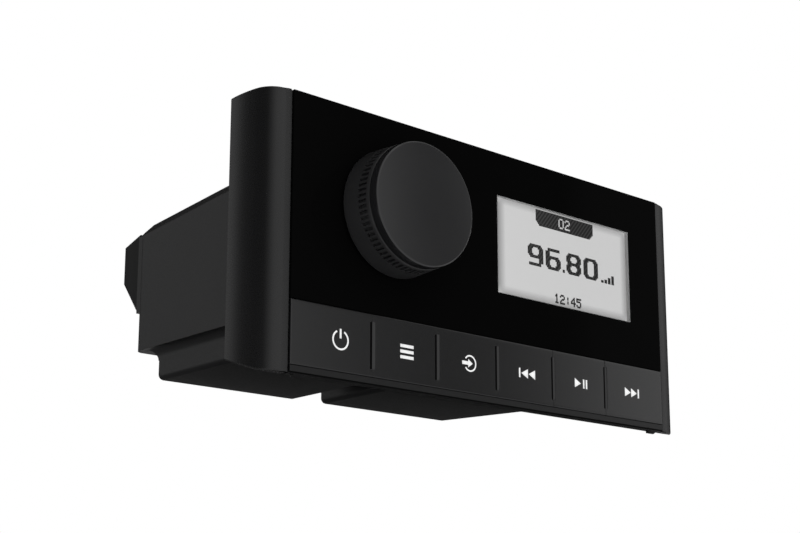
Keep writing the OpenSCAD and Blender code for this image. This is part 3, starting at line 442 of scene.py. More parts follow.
def sheet(x, y, z, **wraps):
    """A grid of points, as a list of points and a list of quads."""
    x, y, z = np.broadcast_arrays(x, y, z)
    points = np.stack((x, y, z), axis=-1)
    return points.reshape(-1, 3), grid_faces(*points.shape[:2], **wraps).tolist()


def plate(outline, depth):
    """A flat outline of (x, z) points, as one face at this depth."""
    outline = np.asarray(outline, float)
    points = np.insert(outline, 1, depth, axis=1)
    return points, [list(range(len(points)))]


def box_skin(low, high):
    """The six faces of an upright box between two corners."""
    points = np.stack(np.meshgrid(*zip(low, high), indexing="ij"), axis=-1).reshape(-1, 3)
    return points, [[0, 1, 3, 2], [4, 6, 7, 5], [0, 4, 5, 1], [2, 3, 7, 6], [0, 2, 6, 4], [1, 5, 7, 3]]


def piece(name, parts, finish, body, stands_for=(), sharp_degrees=SHARP_DEGREES):
    """A new object from lists of points and faces in millimetres, merged, smooth up to a sharp angle."""
    points = np.concatenate([p for p, _ in parts]) * MM
    starts = np.cumsum([0] + [len(p) for p, _ in parts[:-1]])
    faces = [[start + i for i in face] for start, (_, some) in zip(starts.tolist(), parts) for face in some]
    mesh = bpy.data.meshes.new(name)
    mesh.from_pydata(points.tolist(), [], faces)
    shape = bmesh.new()
    shape.from_mesh(mesh)
    bmesh.ops.remove_doubles(shape, verts=shape.verts, dist=MERGE_NEW * MM)
    bmesh.ops.dissolve_degenerate(shape, edges=shape.edges, dist=SLIVER * MM)
    bmesh.ops.recalc_face_normals(shape, faces=shape.faces)
    shape.to_mesh(mesh)
    shape.free()
    return finish_piece(name, mesh, finish, body, stands_for, sharp_degrees)


def finish_piece(name, mesh, finish, body, stands_for, sharp_degrees):
    """Shades a mesh, gives it its finish and hangs it on its body."""
    mesh.materials.clear()
    mesh.materials.append(finish)
    mesh.shade_smooth()
    mesh.set_sharp_from_angle(angle=math.radians(sharp_degrees))
    made = bpy.data.objects.new(name, mesh)
    scene.collection.objects.link(made)
    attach(made, body)
    if stands_for:
        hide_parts(*stands_for)
    return made


def softened(node, edge_mm, flush=None, cut=None):
    """A merged copy of a node whose sharp edges are rounded by edge_mm, as a mould rounds them.

    Where flush is true of an edge's middle (x, y, z), a neighbour carries the
    surface on and the edge stays sharp. A cut is a point and an outward normal
    of a plane, and what lies beyond the plane is chamfered off.
    """
    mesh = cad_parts[node].data.copy()
    shape = bmesh.new()
    shape.from_mesh(mesh)
    bmesh.ops.remove_doubles(shape, verts=shape.verts, dist=MERGE_CAD * MM)
    bmesh.ops.dissolve_limit(
        shape, angle_limit=math.radians(FLAT_DEGREES), verts=shape.verts, edges=shape.edges,
        use_dissolve_boundaries=False)
    if cut:
        whole = shape.verts[:] + shape.edges[:] + shape.faces[:]
        found = bmesh.ops.bisect_plane(
            shape, geom=whole, plane_co=Vector(cut[0]) * MM, plane_no=cut[1], clear_outer=True)
        rim = [part for part in found["geom_cut"] if isinstance(part, bmesh.types.BMEdge)]
        bmesh.ops.triangle_fill(shape, edges=rim, use_dissolve=True)
        bmesh.ops.recalc_face_normals(shape, faces=shape.faces)
    weight = shape.edges.layers.float.new("bevel_weight_edge")
    for edge in shape.edges:
        middle = (edge.verts[0].co + edge.verts[1].co) / (2 * MM)
        sharp = edge.calc_face_angle(0) > math.radians(ROUNDED_DEGREES)
        edge[weight] = float(sharp and not (flush and flush(*middle)))
    shape.to_mesh(mesh)
    shape.free()
    made = finish_piece(node + "_moulding", mesh, FINISHES[node], "unit", (node,), SHARP_DEGREES)
    round_off = made.modifiers.new("rounded_edges", "BEVEL")
    round_off.width = edge_mm * MM
    round_off.segments = EDGE_STEPS
    round_off.limit_method = "WEIGHT"
    round_off.use_clamp_overlap = True
    round_off.harden_normals = True


# Mouldings of the chassis and the front

BELLY_TOP = corners("belly_left")[1][2]
SINK_LOW, SINK_HIGH = corners("heat_sink")
HOUSING_LOW, HOUSING_HIGH = corners("rear_housing")
LENS_LOW, LENS_HIGH = corners("lens")
LENS_Y = LENS_LOW[1]
LIP_LOW_Z = corners("screw_cover_left")[0][2]
CHAMFER_D = 0.9
CHAMFER_H = 0.55
CORNER_D = 2.0
CORNER_W = 2.3
CORNER_IN = 0.02
CORNER_TOP_IN = 0.9
NEAR = 0.1


def meets_belly(x, y, z):
    """Lower edges of the housing, along the belly."""
    return z < BELLY_TOP + NEAR


def meets_housing(x, y, z):
    """Upper edges of the belly."""
    return z > BELLY_TOP - NEAR


def meets_corner(x, y, z):
    """Front edge at the end of the heat sink, on the housing's corner."""
    return x < SINK_LOW[0] + NEAR and y < HOUSING_HIGH[1] + NEAR


softened("rear_housing", 0.45, meets_belly)
softened("belly_left", 0.45, meets_housing)
softened("belly_right", 0.45, meets_housing)
softened("mounting_flange", 0.3)
lip_cut = ((0, LENS_Y, LIP_LOW_Z + CHAMFER_H), (0, -CHAMFER_H, -CHAMFER_D))
softened("fascia_frame", 0.2, cut=lip_cut)
softened("lens", 0.12)
softened("heat_sink", 0.25, meets_corner)
softened("power_socket", 0.2)
softened("line_socket", 0.2)
softened("antenna_socket", 0.12)

# A straight corner of the housing behind the end of the heat sink
corner_low = (HOUSING_LOW[0] + CORNER_IN, HOUSING_HIGH[1] - CORNER_D, SINK_LOW[2])
corner_high = (HOUSING_LOW[0] + CORNER_W, HOUSING_HIGH[1], SINK_HIGH[2] - CORNER_TOP_IN)
piece("sink_corner", [box_skin(corner_low, corner_high)], chassis_abs, "unit")


# Screw covers

COVER_FRONT_R = 6.8
COVER_FLAT = 1.6
COVER_CROWN = 0.03
COVER_INNER_ROUND = 0.18
COVER_END_ROUND = 0.5
COVER_WALL = 1.2
COVER_SEAM = 0.28
COVER_REAR = 1.0
UNDERSIDE_LEVEL_Y = -11.6
UNDERSIDE_RISE = 4.05
TOP_FALL = 0.85


def cover_plan(width, depth, wall):
    """Plan of a screw cover, drawn in by a wall: x of the inner wall, x of the outer side, and their y.

    The outer side is a short flat that falls back by a crown, an arc of the front
    radius and an arc of the side radius that meet at a common normal; drawn in,
    both arcs keep their centres.
    The inner wall is straight, with a small parabola at its front.
    """
    rest = depth - COVER_CROWN - COVER_FRONT_R
    round_w = width - COVER_FLAT
    side_r = (round_w ** 2 + rest ** 2 - COVER_FRONT_R ** 2) / (2 * (round_w - COVER_FRONT_R))
    meet = math.atan2(rest, side_r - round_w)
    front_r = COVER_FRONT_R - wall
    share = np.linspace(0, 1, 6)[:-1]
    start = max(wall, COVER_INNER_ROUND)
    first = np.linspace(0, math.pi / 2 - meet, 28)
    second = np.linspace(meet, 0, 24)[1:]
    arc_x = np.concatenate((
        start + (COVER_FLAT - start) * share, COVER_FLAT + front_r * np.sin(first),
        width - side_r + (side_r - wall) * np.cos(second)))
    arc_y = np.concatenate((
        wall + COVER_CROWN * share ** 2, COVER_CROWN + COVER_FRONT_R - front_r * np.cos(first),
        depth - (side_r - wall) * np.sin(second)))
    bend = np.clip(1 - np.sqrt(arc_y / COVER_INNER_ROUND), 0, 1)
    wall_x = np.maximum(COVER_INNER_ROUND * bend ** 2, wall)
    return wall_x, arc_x, arc_y


def cover_side(node, wall, end_round):
    """Outer or inner side of a screw cover: its plan carried upright between sloping ends.

    At each end the plan draws in along its normals by a quarter circle and
    closes to the line midway between inner wall and arcs.
    """
    low, high = corners(node)
    on_left = low[0] < 0
    inner_x = (LENS_HIGH[0] + COVER_SEAM) * (-1 if on_left else 1)
    width = inner_x - low[0] if on_left else high[0] - inner_x
    depth = high[1] - low[1]
    wall_x, arc_x, arc_y = cover_plan(width, depth, wall)
    plan_x = np.concatenate((wall_x[::-1], arc_x))
    plan_y = np.concatenate((arc_y[::-1], arc_y))
    close_x = np.concatenate(((arc_x + wall_x)[::-1], arc_x + wall_x)) / 2
    along_x = np.gradient(plan_x)
    along_y = np.gradient(plan_y)
    length = np.hypot(along_x, along_y)
    normal_x = along_y / length
    normal_y = np.where(plan_y > depth - COVER_REAR, 0, -along_x / length)
    quarter = np.linspace(0, math.pi / 2, 7)
    inset = end_round * (1 - np.sin(quarter))
    lift = end_round * (1 - np.cos(quarter)) + wall
    inset = np.concatenate(([end_round], inset, inset[::-1], [end_round]))[:, None]
    lift = np.concatenate(([wall], lift, lift[::-1], [wall]))[:, None]
    upper = np.arange(len(inset))[:, None] >= len(inset) // 2
    closed = np.zeros(inset.shape, bool)
    closed[[0, -1]] = True
    x = np.where(closed, close_x, plan_x - inset * normal_x)
    y = low[1] + np.where(closed, plan_y, plan_y - inset * normal_y)
    slope = np.clip((y - UNDERSIDE_LEVEL_Y) / -UNDERSIDE_LEVEL_Y, 0, None)
    bottom = low[2] + UNDERSIDE_RISE * slope
    top = LENS_HIGH[2] - TOP_FALL * (y - LENS_Y) / -LENS_Y
    z = np.where(upper, top - lift, bottom + lift)
    x = inner_x - x if on_left else inner_x + x
    return np.stack((x, y, z))


def cover_shell(node):
    """A hollow screw cover: its outer side, its inner side and a rim between them along both rear edges."""
    outer = cover_side(node, 0, COVER_END_ROUND)
    inner = cover_side(node, COVER_WALL, COVER_END_ROUND / 2)
    rims = [sheet(*np.stack((outer[:, :, edge], inner[:, :, edge]), axis=1)) for edge in (0, -1)]
    return [sheet(*outer), sheet(*inner)] + rims


for node in ("screw_cover_left", "screw_cover_right"):
    piece(node + "_shell", cover_shell(node), cover_abs, "unit", (node,), 40)


# Painted shade: near-black strips along the lip's chamfer, and in the seams beside the covers

LIP_SHADE_T = 0.01
LIP_SHADE_FRONT_IN = 0.12
LIP_SHADE_D = 0.48
BEAD_FRONT_IN = 1.0
BEAD_TOP_IN = 1.1
BEAD_LOW_IN = 0.6


def chamfer_line():
    """A near-black strip on the upper part of the lip's chamfer, painted shade of the gap between lip and
    belly: a flat box, sheared to the chamfer's slope.
    """
    top_z = LIP_LOW_Z + CHAMFER_H
    points, faces = box_skin((LENS_LOW[0], LENS_Y + LIP_SHADE_FRONT_IN, top_z - LIP_SHADE_T),
                             (LENS_HIGH[0], LENS_Y + LIP_SHADE_FRONT_IN + LIP_SHADE_D, top_z + LIP_SHADE_T))
    points[:, 2] -= (points[:, 1] - LENS_Y) * CHAMFER_H / CHAMFER_D
    return points, faces


def seam_bead(side):
    """A near-black bead that fills one seam between the lens and a cover, set back from the front: painted
    shade in the seam.
    """
    seam = sorted((side * LENS_HIGH[0], side * (LENS_HIGH[0] + COVER_SEAM)))
    return box_skin((seam[0], LENS_Y + BEAD_FRONT_IN, LIP_LOW_Z + BEAD_LOW_IN),
                    (seam[1], UNDERSIDE_LEVEL_Y, LENS_HIGH[2] - BEAD_TOP_IN))


lip_shades = [chamfer_line(), seam_bead(-1), seam_bead(1)]
piece("lip_and_seam_shade", lip_shades, lip_shade_black, "unit")


# Knob

CAP_LOW = corners("knob_cap")[0]
GRIP_LOW, GRIP_HIGH = corners("knob_grip")
KNOB_X = (GRIP_LOW[0] + GRIP_HIGH[0]) / 2
KNOB_Z = (GRIP_LOW[2] + GRIP_HIGH[2]) / 2
KNOB_BASE_R = (GRIP_HIGH[0] - GRIP_LOW[0]) / 2
KNOB_GAP = LENS_Y - GRIP_HIGH[1]
KNOB_FRONT_R = 16.9
KNOB_H = LENS_Y - CAP_LOW[1]
CAP_JOINT_H = LENS_Y - GRIP_LOW[1]
GRIP_JOINT_R = KNOB_BASE_R - (KNOB_BASE_R - KNOB_FRONT_R) * (CAP_JOINT_H - KNOB_GAP) / (KNOB_H - KNOB_GAP)
GRIP_WALL = 2.2
FOOT_ROUND = 0.4
HUB_BORE_R = 2.2
WEB_T = 2.0
SKIRT_LEVELS = (2.5, 4.0, 5.5)
SLOT_COUNT = 72
SLOT_W = 0.75
SLOT_LOW_H = 6.9
SLOT_HIGH_H = 9.8
SLOT_DEPTH = 0.8
SLOT_EDGE = 0.05
ROUND = 0.18


def rounded_path(points, reach, steps=5):
    """A path of straight runs whose corners become parabolas that start one reach away."""
    points = np.asarray(points, float)
    corner = points[1:-1]
    before = points[:-2] - corner
    after = points[2:] - corner
    reach = np.broadcast_to(np.asarray(reach, float), len(corner))[:, None]
    start = corner + before / np.linalg.norm(before, axis=1)[:, None] * reach
    end = corner + after / np.linalg.norm(after, axis=1)[:, None] * reach
    share = np.linspace(0, 1, steps)[None, :, None]
    bends = ((1 - share) ** 2 * start[:, None] + 2 * share * (1 - share) * corner[:, None]
             + share ** 2 * end[:, None])
    return np.concatenate((points[:1], bends.reshape(-1, 2), points[-1:]))


def turned(path_r, path_h, angle):
    """A path of radius and height above the lens, turned about the knob's axis."""
    x = KNOB_X + path_r * np.cos(angle)
    z = KNOB_Z + path_r * np.sin(angle)
    return sheet(x, LENS_Y - path_h, z, wrap_rows=True)


def grip_skin():
    """Grip of the knob: a cone turned about the axis, with a ring of slots.

    The radius falls evenly with the height. Inside a slot, where the angle is
    within half a slot's width of a slot's middle and the height lies between
    the slot's ends, the radius is smaller by the slot's depth.
    """
    pitch = 2 * math.pi / SLOT_COUNT
    half = SLOT_W / 2 / GRIP_JOINT_R
    edge = SLOT_EDGE / GRIP_JOINT_R
    within = np.array([-pitch / 2, -half - edge, -half, 0, half, half + edge])
    angle = (np.arange(SLOT_COUNT)[:, None] * pitch + within).reshape(-1, 1)
    in_turn = np.tile(np.abs(within) <= half + edge / 2, SLOT_COUNT)[:, None]
    bottom = rounded_path(
        [(KNOB_BASE_R - GRIP_WALL, KNOB_GAP), (KNOB_BASE_R, KNOB_GAP), (GRIP_JOINT_R, CAP_JOINT_H)],
        FOOT_ROUND)[:-1]
    top = rounded_path(
        [(KNOB_BASE_R, KNOB_GAP), (GRIP_JOINT_R, CAP_JOINT_H), (HUB_BORE_R, CAP_JOINT_H),
         (HUB_BORE_R, CAP_JOINT_H - WEB_T), (GRIP_JOINT_R - GRIP_WALL, CAP_JOINT_H - WEB_T),
         (KNOB_BASE_R - GRIP_WALL, KNOB_GAP)], ROUND)[1:]
    slot_middle = (SLOT_LOW_H + SLOT_HIGH_H) / 2
    slot_h = np.array([
        *SKIRT_LEVELS, SLOT_LOW_H - SLOT_EDGE, SLOT_LOW_H, slot_middle, SLOT_HIGH_H, SLOT_HIGH_H + SLOT_EDGE])
    fall = (KNOB_BASE_R - GRIP_JOINT_R) / (CAP_JOINT_H - KNOB_GAP)
    slot_r = KNOB_BASE_R - fall * (slot_h - KNOB_GAP)
    path_r = np.concatenate((bottom[:, 0], slot_r, top[:, 0]))
    path_h = np.concatenate((bottom[:, 1], slot_h, top[:, 1]))
    on_wall = np.zeros(len(path_r), bool)
    on_wall[len(bottom):len(bottom) + len(slot_h)] = True
    in_height = on_wall & (path_h >= SLOT_LOW_H) & (path_h <= SLOT_HIGH_H)
    radius = path_r - SLOT_DEPTH * (in_turn & in_height)
    return turned(radius, path_h, angle)


CAP_LINE_W = 0.3
CAP_LINE_D = 0.5
CAP_BEVEL = 0.35
CAP_BEVEL_H = 0.2
CAP_ROUNDS = (0.05, 0.05, 0.08, 0.1, 0.1)
CAP_STEPS = 240
CAP_CLEAR = 0.02
CAP_RIM_IN = 0.05
AXIS_R = 0.02


def cap_skin():
    """Cap of the knob, turned: a dark line at its joint, a plain rim, a narrow bevel and a flat face."""
    path = rounded_path(
        [(AXIS_R, CAP_JOINT_H + CAP_CLEAR), (GRIP_JOINT_R - CAP_LINE_D, CAP_JOINT_H + CAP_CLEAR),
         (GRIP_JOINT_R - CAP_LINE_D, CAP_JOINT_H + CAP_LINE_W),
         (GRIP_JOINT_R - CAP_RIM_IN, CAP_JOINT_H + CAP_LINE_W), (KNOB_FRONT_R, KNOB_H - CAP_BEVEL_H),
         (KNOB_FRONT_R - CAP_BEVEL, KNOB_H), (AXIS_R, KNOB_H)], CAP_ROUNDS)
    angle = np.linspace(0, 2 * math.pi, CAP_STEPS, endpoint=False)[:, None]
    return turned(path[:, 0], path[:, 1], angle)


piece("knob_grip_skin", [grip_skin()], grip_abs, "knob", ("knob_grip",), 38)
piece("knob_cap_skin", [cap_skin()], cap_with_shaded_rim, "knob", ("knob_cap",), 50)


# Keys

KEY_NAMES = ("power", "menu", "source", "previous", "play", "next")
KEY_CAP_T = 1.2
KEY_ROUND = 0.3
KEY_JOINT_ROUND = 0.04
GROOVE_DEPTH = 0.16
GROOVE_MARGIN = 2.1
GROOVE_END = 0.12
GROOVE_FLOOR_W = 0.62
GROOVE_STEP_W = 0.06
GROOVE_SLOPE_W = 0.38
STRIP_T = 0.02


def rounded_drop(distance, radius):
    """How far a rounded edge falls back at this distance from the edge: a quarter circle."""
    inside = np.clip(radius - distance, 0, radius)
    return radius - np.sqrt(np.clip(radius ** 2 - inside ** 2, 0, None))


def edge_stations(length, fine, groove=()):
    """Stations along one side of a key: close at both edges and at a groove, doubled at the ends."""
    near = KEY_ROUND * (1 - np.cos(np.linspace(0, math.pi / 2, fine)))
    inner = np.linspace(1.0, length - 1.0, 9)
    stops = np.concatenate((near, np.asarray(groove, float), inner, length - near))
    stops = np.unique(np.round(stops, 5))
    return np.concatenate(([0], stops, [length]))


def key_skin(index):
    """Cap of a key: a flat front whose depth grows towards its edges.

    The depth at a point is the larger of the edges' quarter-circle drop and of
    the groove's depth. Between its ends a groove has a flat floor with a steep
    step on its left key, and an even slope on its right key. The outermost
    stations drop to the cap's rear and make its side walls.
    """
    low, high = corners("key_" + KEY_NAMES[index])
    width = high[0] - low[0]
    height = high[2] - low[2]
    across = edge_stations(width, 6, [
        GROOVE_SLOPE_W, width - GROOVE_FLOOR_W, width - GROOVE_FLOOR_W - GROOVE_STEP_W])
    ends = np.array([GROOVE_MARGIN - GROOVE_END, GROOVE_MARGIN, GROOVE_MARGIN + GROOVE_END])
    upright = edge_stations(height, 6, np.concatenate((ends, height - ends)))
    s, t = np.meshgrid(across, upright, indexing="ij")
    left_round = KEY_ROUND if index == 0 else KEY_JOINT_ROUND
    right_round = KEY_ROUND if index == len(KEY_NAMES) - 1 else KEY_JOINT_ROUND
    drop = np.maximum(rounded_drop(s, left_round), rounded_drop(width - s, right_round))
    drop = np.maximum(drop, rounded_drop(np.minimum(t, height - t), KEY_ROUND))
    within = np.clip((np.minimum(t, height - t) - GROOVE_MARGIN) / GROOVE_END, 0, 1)
    left_groove = np.clip(1 - s / GROOVE_SLOPE_W, 0, 1) * (index > 0)
    from_floor = (width - s - GROOVE_FLOOR_W) / GROOVE_STEP_W
    right_groove = np.clip(1 - from_floor, 0, 1) * (index < len(KEY_NAMES) - 1)
    drop = np.maximum(drop, GROOVE_DEPTH * within * np.maximum(left_groove, right_groove))
    drop[[0, -1], :] = KEY_CAP_T
    drop[:, [0, -1]] = KEY_CAP_T
    front = sheet(low[0] + s, LENS_Y + drop, low[2] + t)
    rear = plate([(low[0], low[2]), (high[0], low[2]), (high[0], high[2]), (low[0], high[2])],
                 LENS_Y + KEY_CAP_T)
    return [front, rear]


for index, name in enumerate(KEY_NAMES):
    key = "key_" + name
    piece(key + "_cap", key_skin(index), key_coat, key, (key,), 40)
# Each groove gets a thin near-black strip on its floor: painted shade
for name in KEY_NAMES[:-1]:
    key_low, key_high = corners("key_" + name)
    floor_y = LENS_Y + GROOVE_DEPTH
    strip_low = (key_high[0] - GROOVE_FLOOR_W, floor_y - STRIP_T, key_low[2] + GROOVE_MARGIN)
    strip_high = (key_high[0] - STRIP_T, floor_y + STRIP_T, key_high[2] - GROOVE_MARGIN)
    groove_strip = box_skin(strip_low, strip_high)
    piece("groove_" + name, [groove_strip], groove_shade_black, "key_" + name)


# Legends on the keys

LEGEND_Z = -26.7
LEGEND_Y = LENS_Y - 0.01
LEGEND_T = 0.03
SKIP_HALF = 1.38


def arc(centre_x, centre_z, outer, inner, start, end):
    """A ring segment between two radii and two angles, in degrees from the right."""
    angle = np.radians(np.linspace(start, end, 49))[:, None]
    radius = np.array([inner, outer])[None, :]
    return sheet(centre_x + radius * np.cos(angle), LEGEND_Y, centre_z + radius * np.sin(angle))


def bar(low_x, high_x, low_z, high_z):
    """An upright or level bar between two corners."""
    return plate([(low_x, low_z), (high_x, low_z), (high_x, high_z), (low_x, high_z)], LEGEND_Y)


def pointer(base_x, tip_x, centre_z, half):
    """A triangle with an upright base and its tip to one side."""
    return plate([(base_x, centre_z - half), (tip_x, centre_z), (base_x, centre_z + half)], LEGEND_Y)


def power_legend(x, z):
    """An open ring with a bar through its gap."""
    return [arc(x, z, 2.7, 2.22, 118, 422), bar(x - 0.3, x + 0.3, z + 0.4, z + 2.9)]


def menu_legend(x, z):
    """Three level bars."""
    return [bar(x - 2.35, x + 2.35, z + lift - 0.43, z + lift + 0.43) for lift in (-1.52, 0, 1.52)]


def source_legend(x, z):
    """An arrow that enters an open ring from the left."""
    return [arc(x + 0.4, z, 2.35, 1.92, -144, 144), bar(x - 2.6, x - 0.3, z - 0.5, z + 0.5),
            pointer(x - 0.35, x + 1.4, z, 1.2)]


def previous_legend(x, z):
    """A bar and two triangles that point left."""
    return [bar(x - 3.3, x - 2.72, z - SKIP_HALF, z + SKIP_HALF), pointer(x + 0.36, x - 2.36, z, SKIP_HALF),
            pointer(x + 3.3, x + 0.65, z, SKIP_HALF)]


def play_legend(x, z):
    """A triangle that points right, and two upright bars."""
    return [pointer(x - 2.74, x - 0.1, z, SKIP_HALF), bar(x + 0.85, x + 1.45, z - SKIP_HALF, z + SKIP_HALF),
            bar(x + 2.05, x + 2.7, z - SKIP_HALF, z + SKIP_HALF)]


def next_legend(x, z):
    """Two triangles that point right, and a bar."""
    return [pointer(x - 3.3, x - 0.6, z, SKIP_HALF), pointer(x - 0.4, x + 2.25, z, SKIP_HALF),
            bar(x + 2.65, x + 3.3, z - SKIP_HALF, z + SKIP_HALF)]


LEGENDS = {
    "power": (power_legend, -56.3), "menu": (menu_legend, -33.7), "source": (source_legend, -10.9),
    "previous": (previous_legend, 12.0), "play": (play_legend, 34.9), "next": (next_legend, 58.0),
}
for name, (draw, legend_x) in LEGENDS.items():
    mark = piece("legend_" + name, draw(legend_x, LEGEND_Z), legend, "key_" + name)
    ink = mark.modifiers.new("ink", "SOLIDIFY")
    ink.thickness = LEGEND_T * MM
    ink.offset = 0


# Pale side walls round the display, seen through the window

WALL_IN = 0.06
WALL_T = 0.04


def window_walls():
    """A thin upright tube inside the window: its outline carried from the window's front to its rear."""
    front_y = WINDOW_LOW[1] + WALL_IN
    rear_y = WINDOW_HIGH[1] - WALL_IN
    inset = np.array([WALL_IN, WALL_IN, WALL_IN + WALL_T, WALL_IN + WALL_T])[None, :]
    right = np.array([0, 1, 1, 0])[:, None]
    upper = np.array([0, 0, 1, 1])[:, None]
    x = np.where(right == 1, WINDOW_HIGH[0] - inset, WINDOW_LOW[0] + inset)
    z = np.where(upper == 1, WINDOW_HIGH[2] - inset, WINDOW_LOW[2] + inset)
    y = np.array([front_y, rear_y, rear_y, front_y])[None, :]
    return sheet(x, y, z, wrap_rows=True, wrap_columns=True)


piece("window_walls", [window_walls()], wall_print, "unit")


# Marks on the display, as dots of its crystal

DISPLAY_Y = corners("lcd_panel")[0][1]
DOT = 0.45
BIG_DOT = 0.47
SMALL_DOT = 0.4
SMALL_SWELL = 0.09
FILM_T = 0.02
SLANT_X = 1.5
SLANT_Z = 0.55
SMALL_DIGITS = {
    "0": ("01110", "10001", "10001", "10001", "10001", "10001", "01110"),
    "1": ("00100", "01100", "00100", "00100", "00100", "00100", "01110"),
    "2": ("01110", "10001", "00001", "00110", "01000", "10000", "11111"),
    "4": ("00010", "00110", "01010", "10010", "11111", "00010", "00010"),
    "5": ("11111", "10000", "11110", "00001", "00001", "10001", "01110"),
    ":": ("00000", "00100", "00100", "00000", "00100", "00100", "00000"),
}
BIG_COLUMNS = 14
BIG_ROWS = 14


def small_dots(text):
    """Dots of a line of small digits, with an empty column after each."""
    glyphs = [np.array([[c == "1" for c in row] for row in SMALL_DIGITS[digit]]) for digit in text]
    return np.concatenate([np.pad(glyph, ((0, 0), (0, 1))) for glyph in glyphs], axis=1)


def ring_dots(top, bottom, across, upright):
    """A ring of dots: inside a rectangle with cut corners, and outside a smaller one."""
    row, column = np.mgrid[0:BIG_ROWS, 0:BIG_COLUMNS]
    left = np.minimum(column, BIG_COLUMNS - 1 - column)
    level = np.minimum(row - top, bottom - row)
    outer = (level >= 0) & (left + level >= 2)
    inner = (level >= upright) & (left >= across) & (left - across + level - upright >= 1)
    return outer & ~inner


def big_dots(digit):
    """Dots of one big digit, made of rings: none of its shapes needs more than two and a bar."""
    row, column = np.mgrid[0:BIG_ROWS, 0:BIG_COLUMNS]
    if digit == "0":
        return ring_dots(0, 13, 4, 2)
    if digit == "8":
        return ring_dots(0, 7, 4, 2) | ring_dots(6, 13, 4, 2)
    stem = (column >= 10) & (row >= 4) & (row <= 11)
    foot = (row >= 12) & (column >= 1) & (column <= 11)
    nine = ring_dots(0, 8, 4, 2) | stem | foot
    return nine if digit == "9" else nine[::-1, ::-1]


def dots(pattern, left, top, pitch=DOT, swell=0.0):
    """Squares for the set dots of a pattern from its upper left corner on, each grown by a swell."""
    row, column = np.nonzero(pattern)
    x = left + column[:, None] * pitch + np.array([-swell, pitch + swell, pitch + swell, -swell])
    z = top - row[:, None] * pitch - np.array([pitch + swell, pitch + swell, -swell, -swell])
    points = np.stack((x + SLANT_X, np.full(x.shape, DISPLAY_Y - FILM_T), z + SLANT_Z), axis=-1)
    return points.reshape(-1, 3), np.arange(4 * len(row)).reshape(-1, 4).tolist()


def tab_dots():
    """A filled tab with rounded lower corners, and a small number left open in it."""
    rows, columns, corner = 11, 56, 5
    row, column = np.mgrid[0:rows, 0:columns]
    below = np.clip(row - (rows - 1 - corner), 0, None)
    beside = np.clip(corner - np.minimum(column, columns - 1 - column), 0, None)
    filled = np.hypot(below, beside) <= corner + 0.4
    number = small_dots("02")
    first = (columns - number.shape[1]) // 2
    filled[2:9, first:first + number.shape[1]] &= ~number
    return filled


def signal_dots():
    """Four upright bars, each taller than the one before."""
    row, column = np.mgrid[0:7, 0:15]
    return (column % 4 < 3) & (row >= 5 - 5 * (column // 4) // 3)


BIG_TOP = 12.7
display_marks = [
    dots(tab_dots(), 16.9, 23.7), dots(big_dots("9"), 13.3, BIG_TOP, BIG_DOT),
    dots(big_dots("6"), 20.85, BIG_TOP, BIG_DOT), dots(np.ones((2, 2), bool), 28.2, 7.1, BIG_DOT),
    dots(big_dots("8"), 29.85, BIG_TOP, BIG_DOT), dots(big_dots("0"), 37.5, BIG_TOP, BIG_DOT),
    dots(signal_dots(), 45.4, 8.9, SMALL_DOT),
    dots(small_dots("12:45"), 24.4, -0.9, SMALL_DOT, SMALL_SWELL),
]
marks = piece("display_marks", display_marks, crystal, "unit")
film = marks.modifiers.new("film", "SOLIDIFY")
film.thickness = FILM_T * MM
film.offset = 0


# Stage: pale floor, white surroundings, a graded wall and two cards that only reflections see

FLOOR_Z = -0.2
FLOOR_HALF = 3.0
WALL_R = 1.5
WALL_LOW = -8
WALL_HIGH = 88
WORLD_FILL = 0.8
CARD_SIDE = 0.04
CARD_REAR = 0.06
CARD_DROP = 0.004
CARD_STEP = 0.014


def stage_plane(name, points, finish):
    """A flat four-sided stage object."""
    mesh = bpy.data.meshes.new(name)
    mesh.from_pydata([tuple(p) for p in points], [], [(0, 1, 2, 3)])
    mesh.materials.append(finish)
    made = bpy.data.objects.new(name, mesh)
    scene.collection.objects.link(made)
    return made


def stage_finish(name, colour, roughness):
    """Dull even paper or cloth of the studio."""
    material, tree, place = new_material(name)
    fibre = add(tree, "ShaderNodeTexNoise", {}, {"Vector": place, "Scale": per_metre(3), "Detail": 2.0})
    tone = add(tree, "ShaderNodeMapRange", {}, {
        "Value": fibre.outputs["Fac"], "To Min": roughness, "To Max": 1.0})
    shade(tree, {
        "Base Color": linear(colour), "Roughness": tone.outputs["Result"], "Specular IOR Level": 0.1})
    return material


def graded_wall(name, tones):
    """Studio wall seen in reflections: its brightness follows the azimuth from the front."""
    material, tree, place = new_material(name)
    split = add(tree, "ShaderNodeSeparateXYZ", {}, {"Vector": place})
    front = add(tree, "ShaderNodeMath", {"operation": "MULTIPLY"}, {0: split.outputs["Y"], 1: -1.0})
    azimuth = add(tree, "ShaderNodeMath", {"operation": "ARCTAN2"}, {
        0: split.outputs["X"], 1: front.outputs[0]})
    share = add(tree, "ShaderNodeMapRange", {}, {
        "Value": azimuth.outputs[0], "From Min": -math.pi, "From Max": math.pi})
    ramp = add(tree, "ShaderNodeValToRGB", {}, {"Fac": share.outputs["Result"]})
    stops = ramp.color_ramp.elements
    for degrees, tone in tones:
        stop = stops.new(degrees / 360 + 0.5)
        stop.color = (tone, tone, tone, 1)
    stops.remove(stops[0])
    stops.remove(stops[-1])
    shade(tree, {
        "Base Color": (0, 0, 0, 1), "Roughness": 1.0, "Specular IOR Level": 0.0,
        "Emission Color": ramp.outputs["Color"], "Emission Strength": 1.0})
    return material


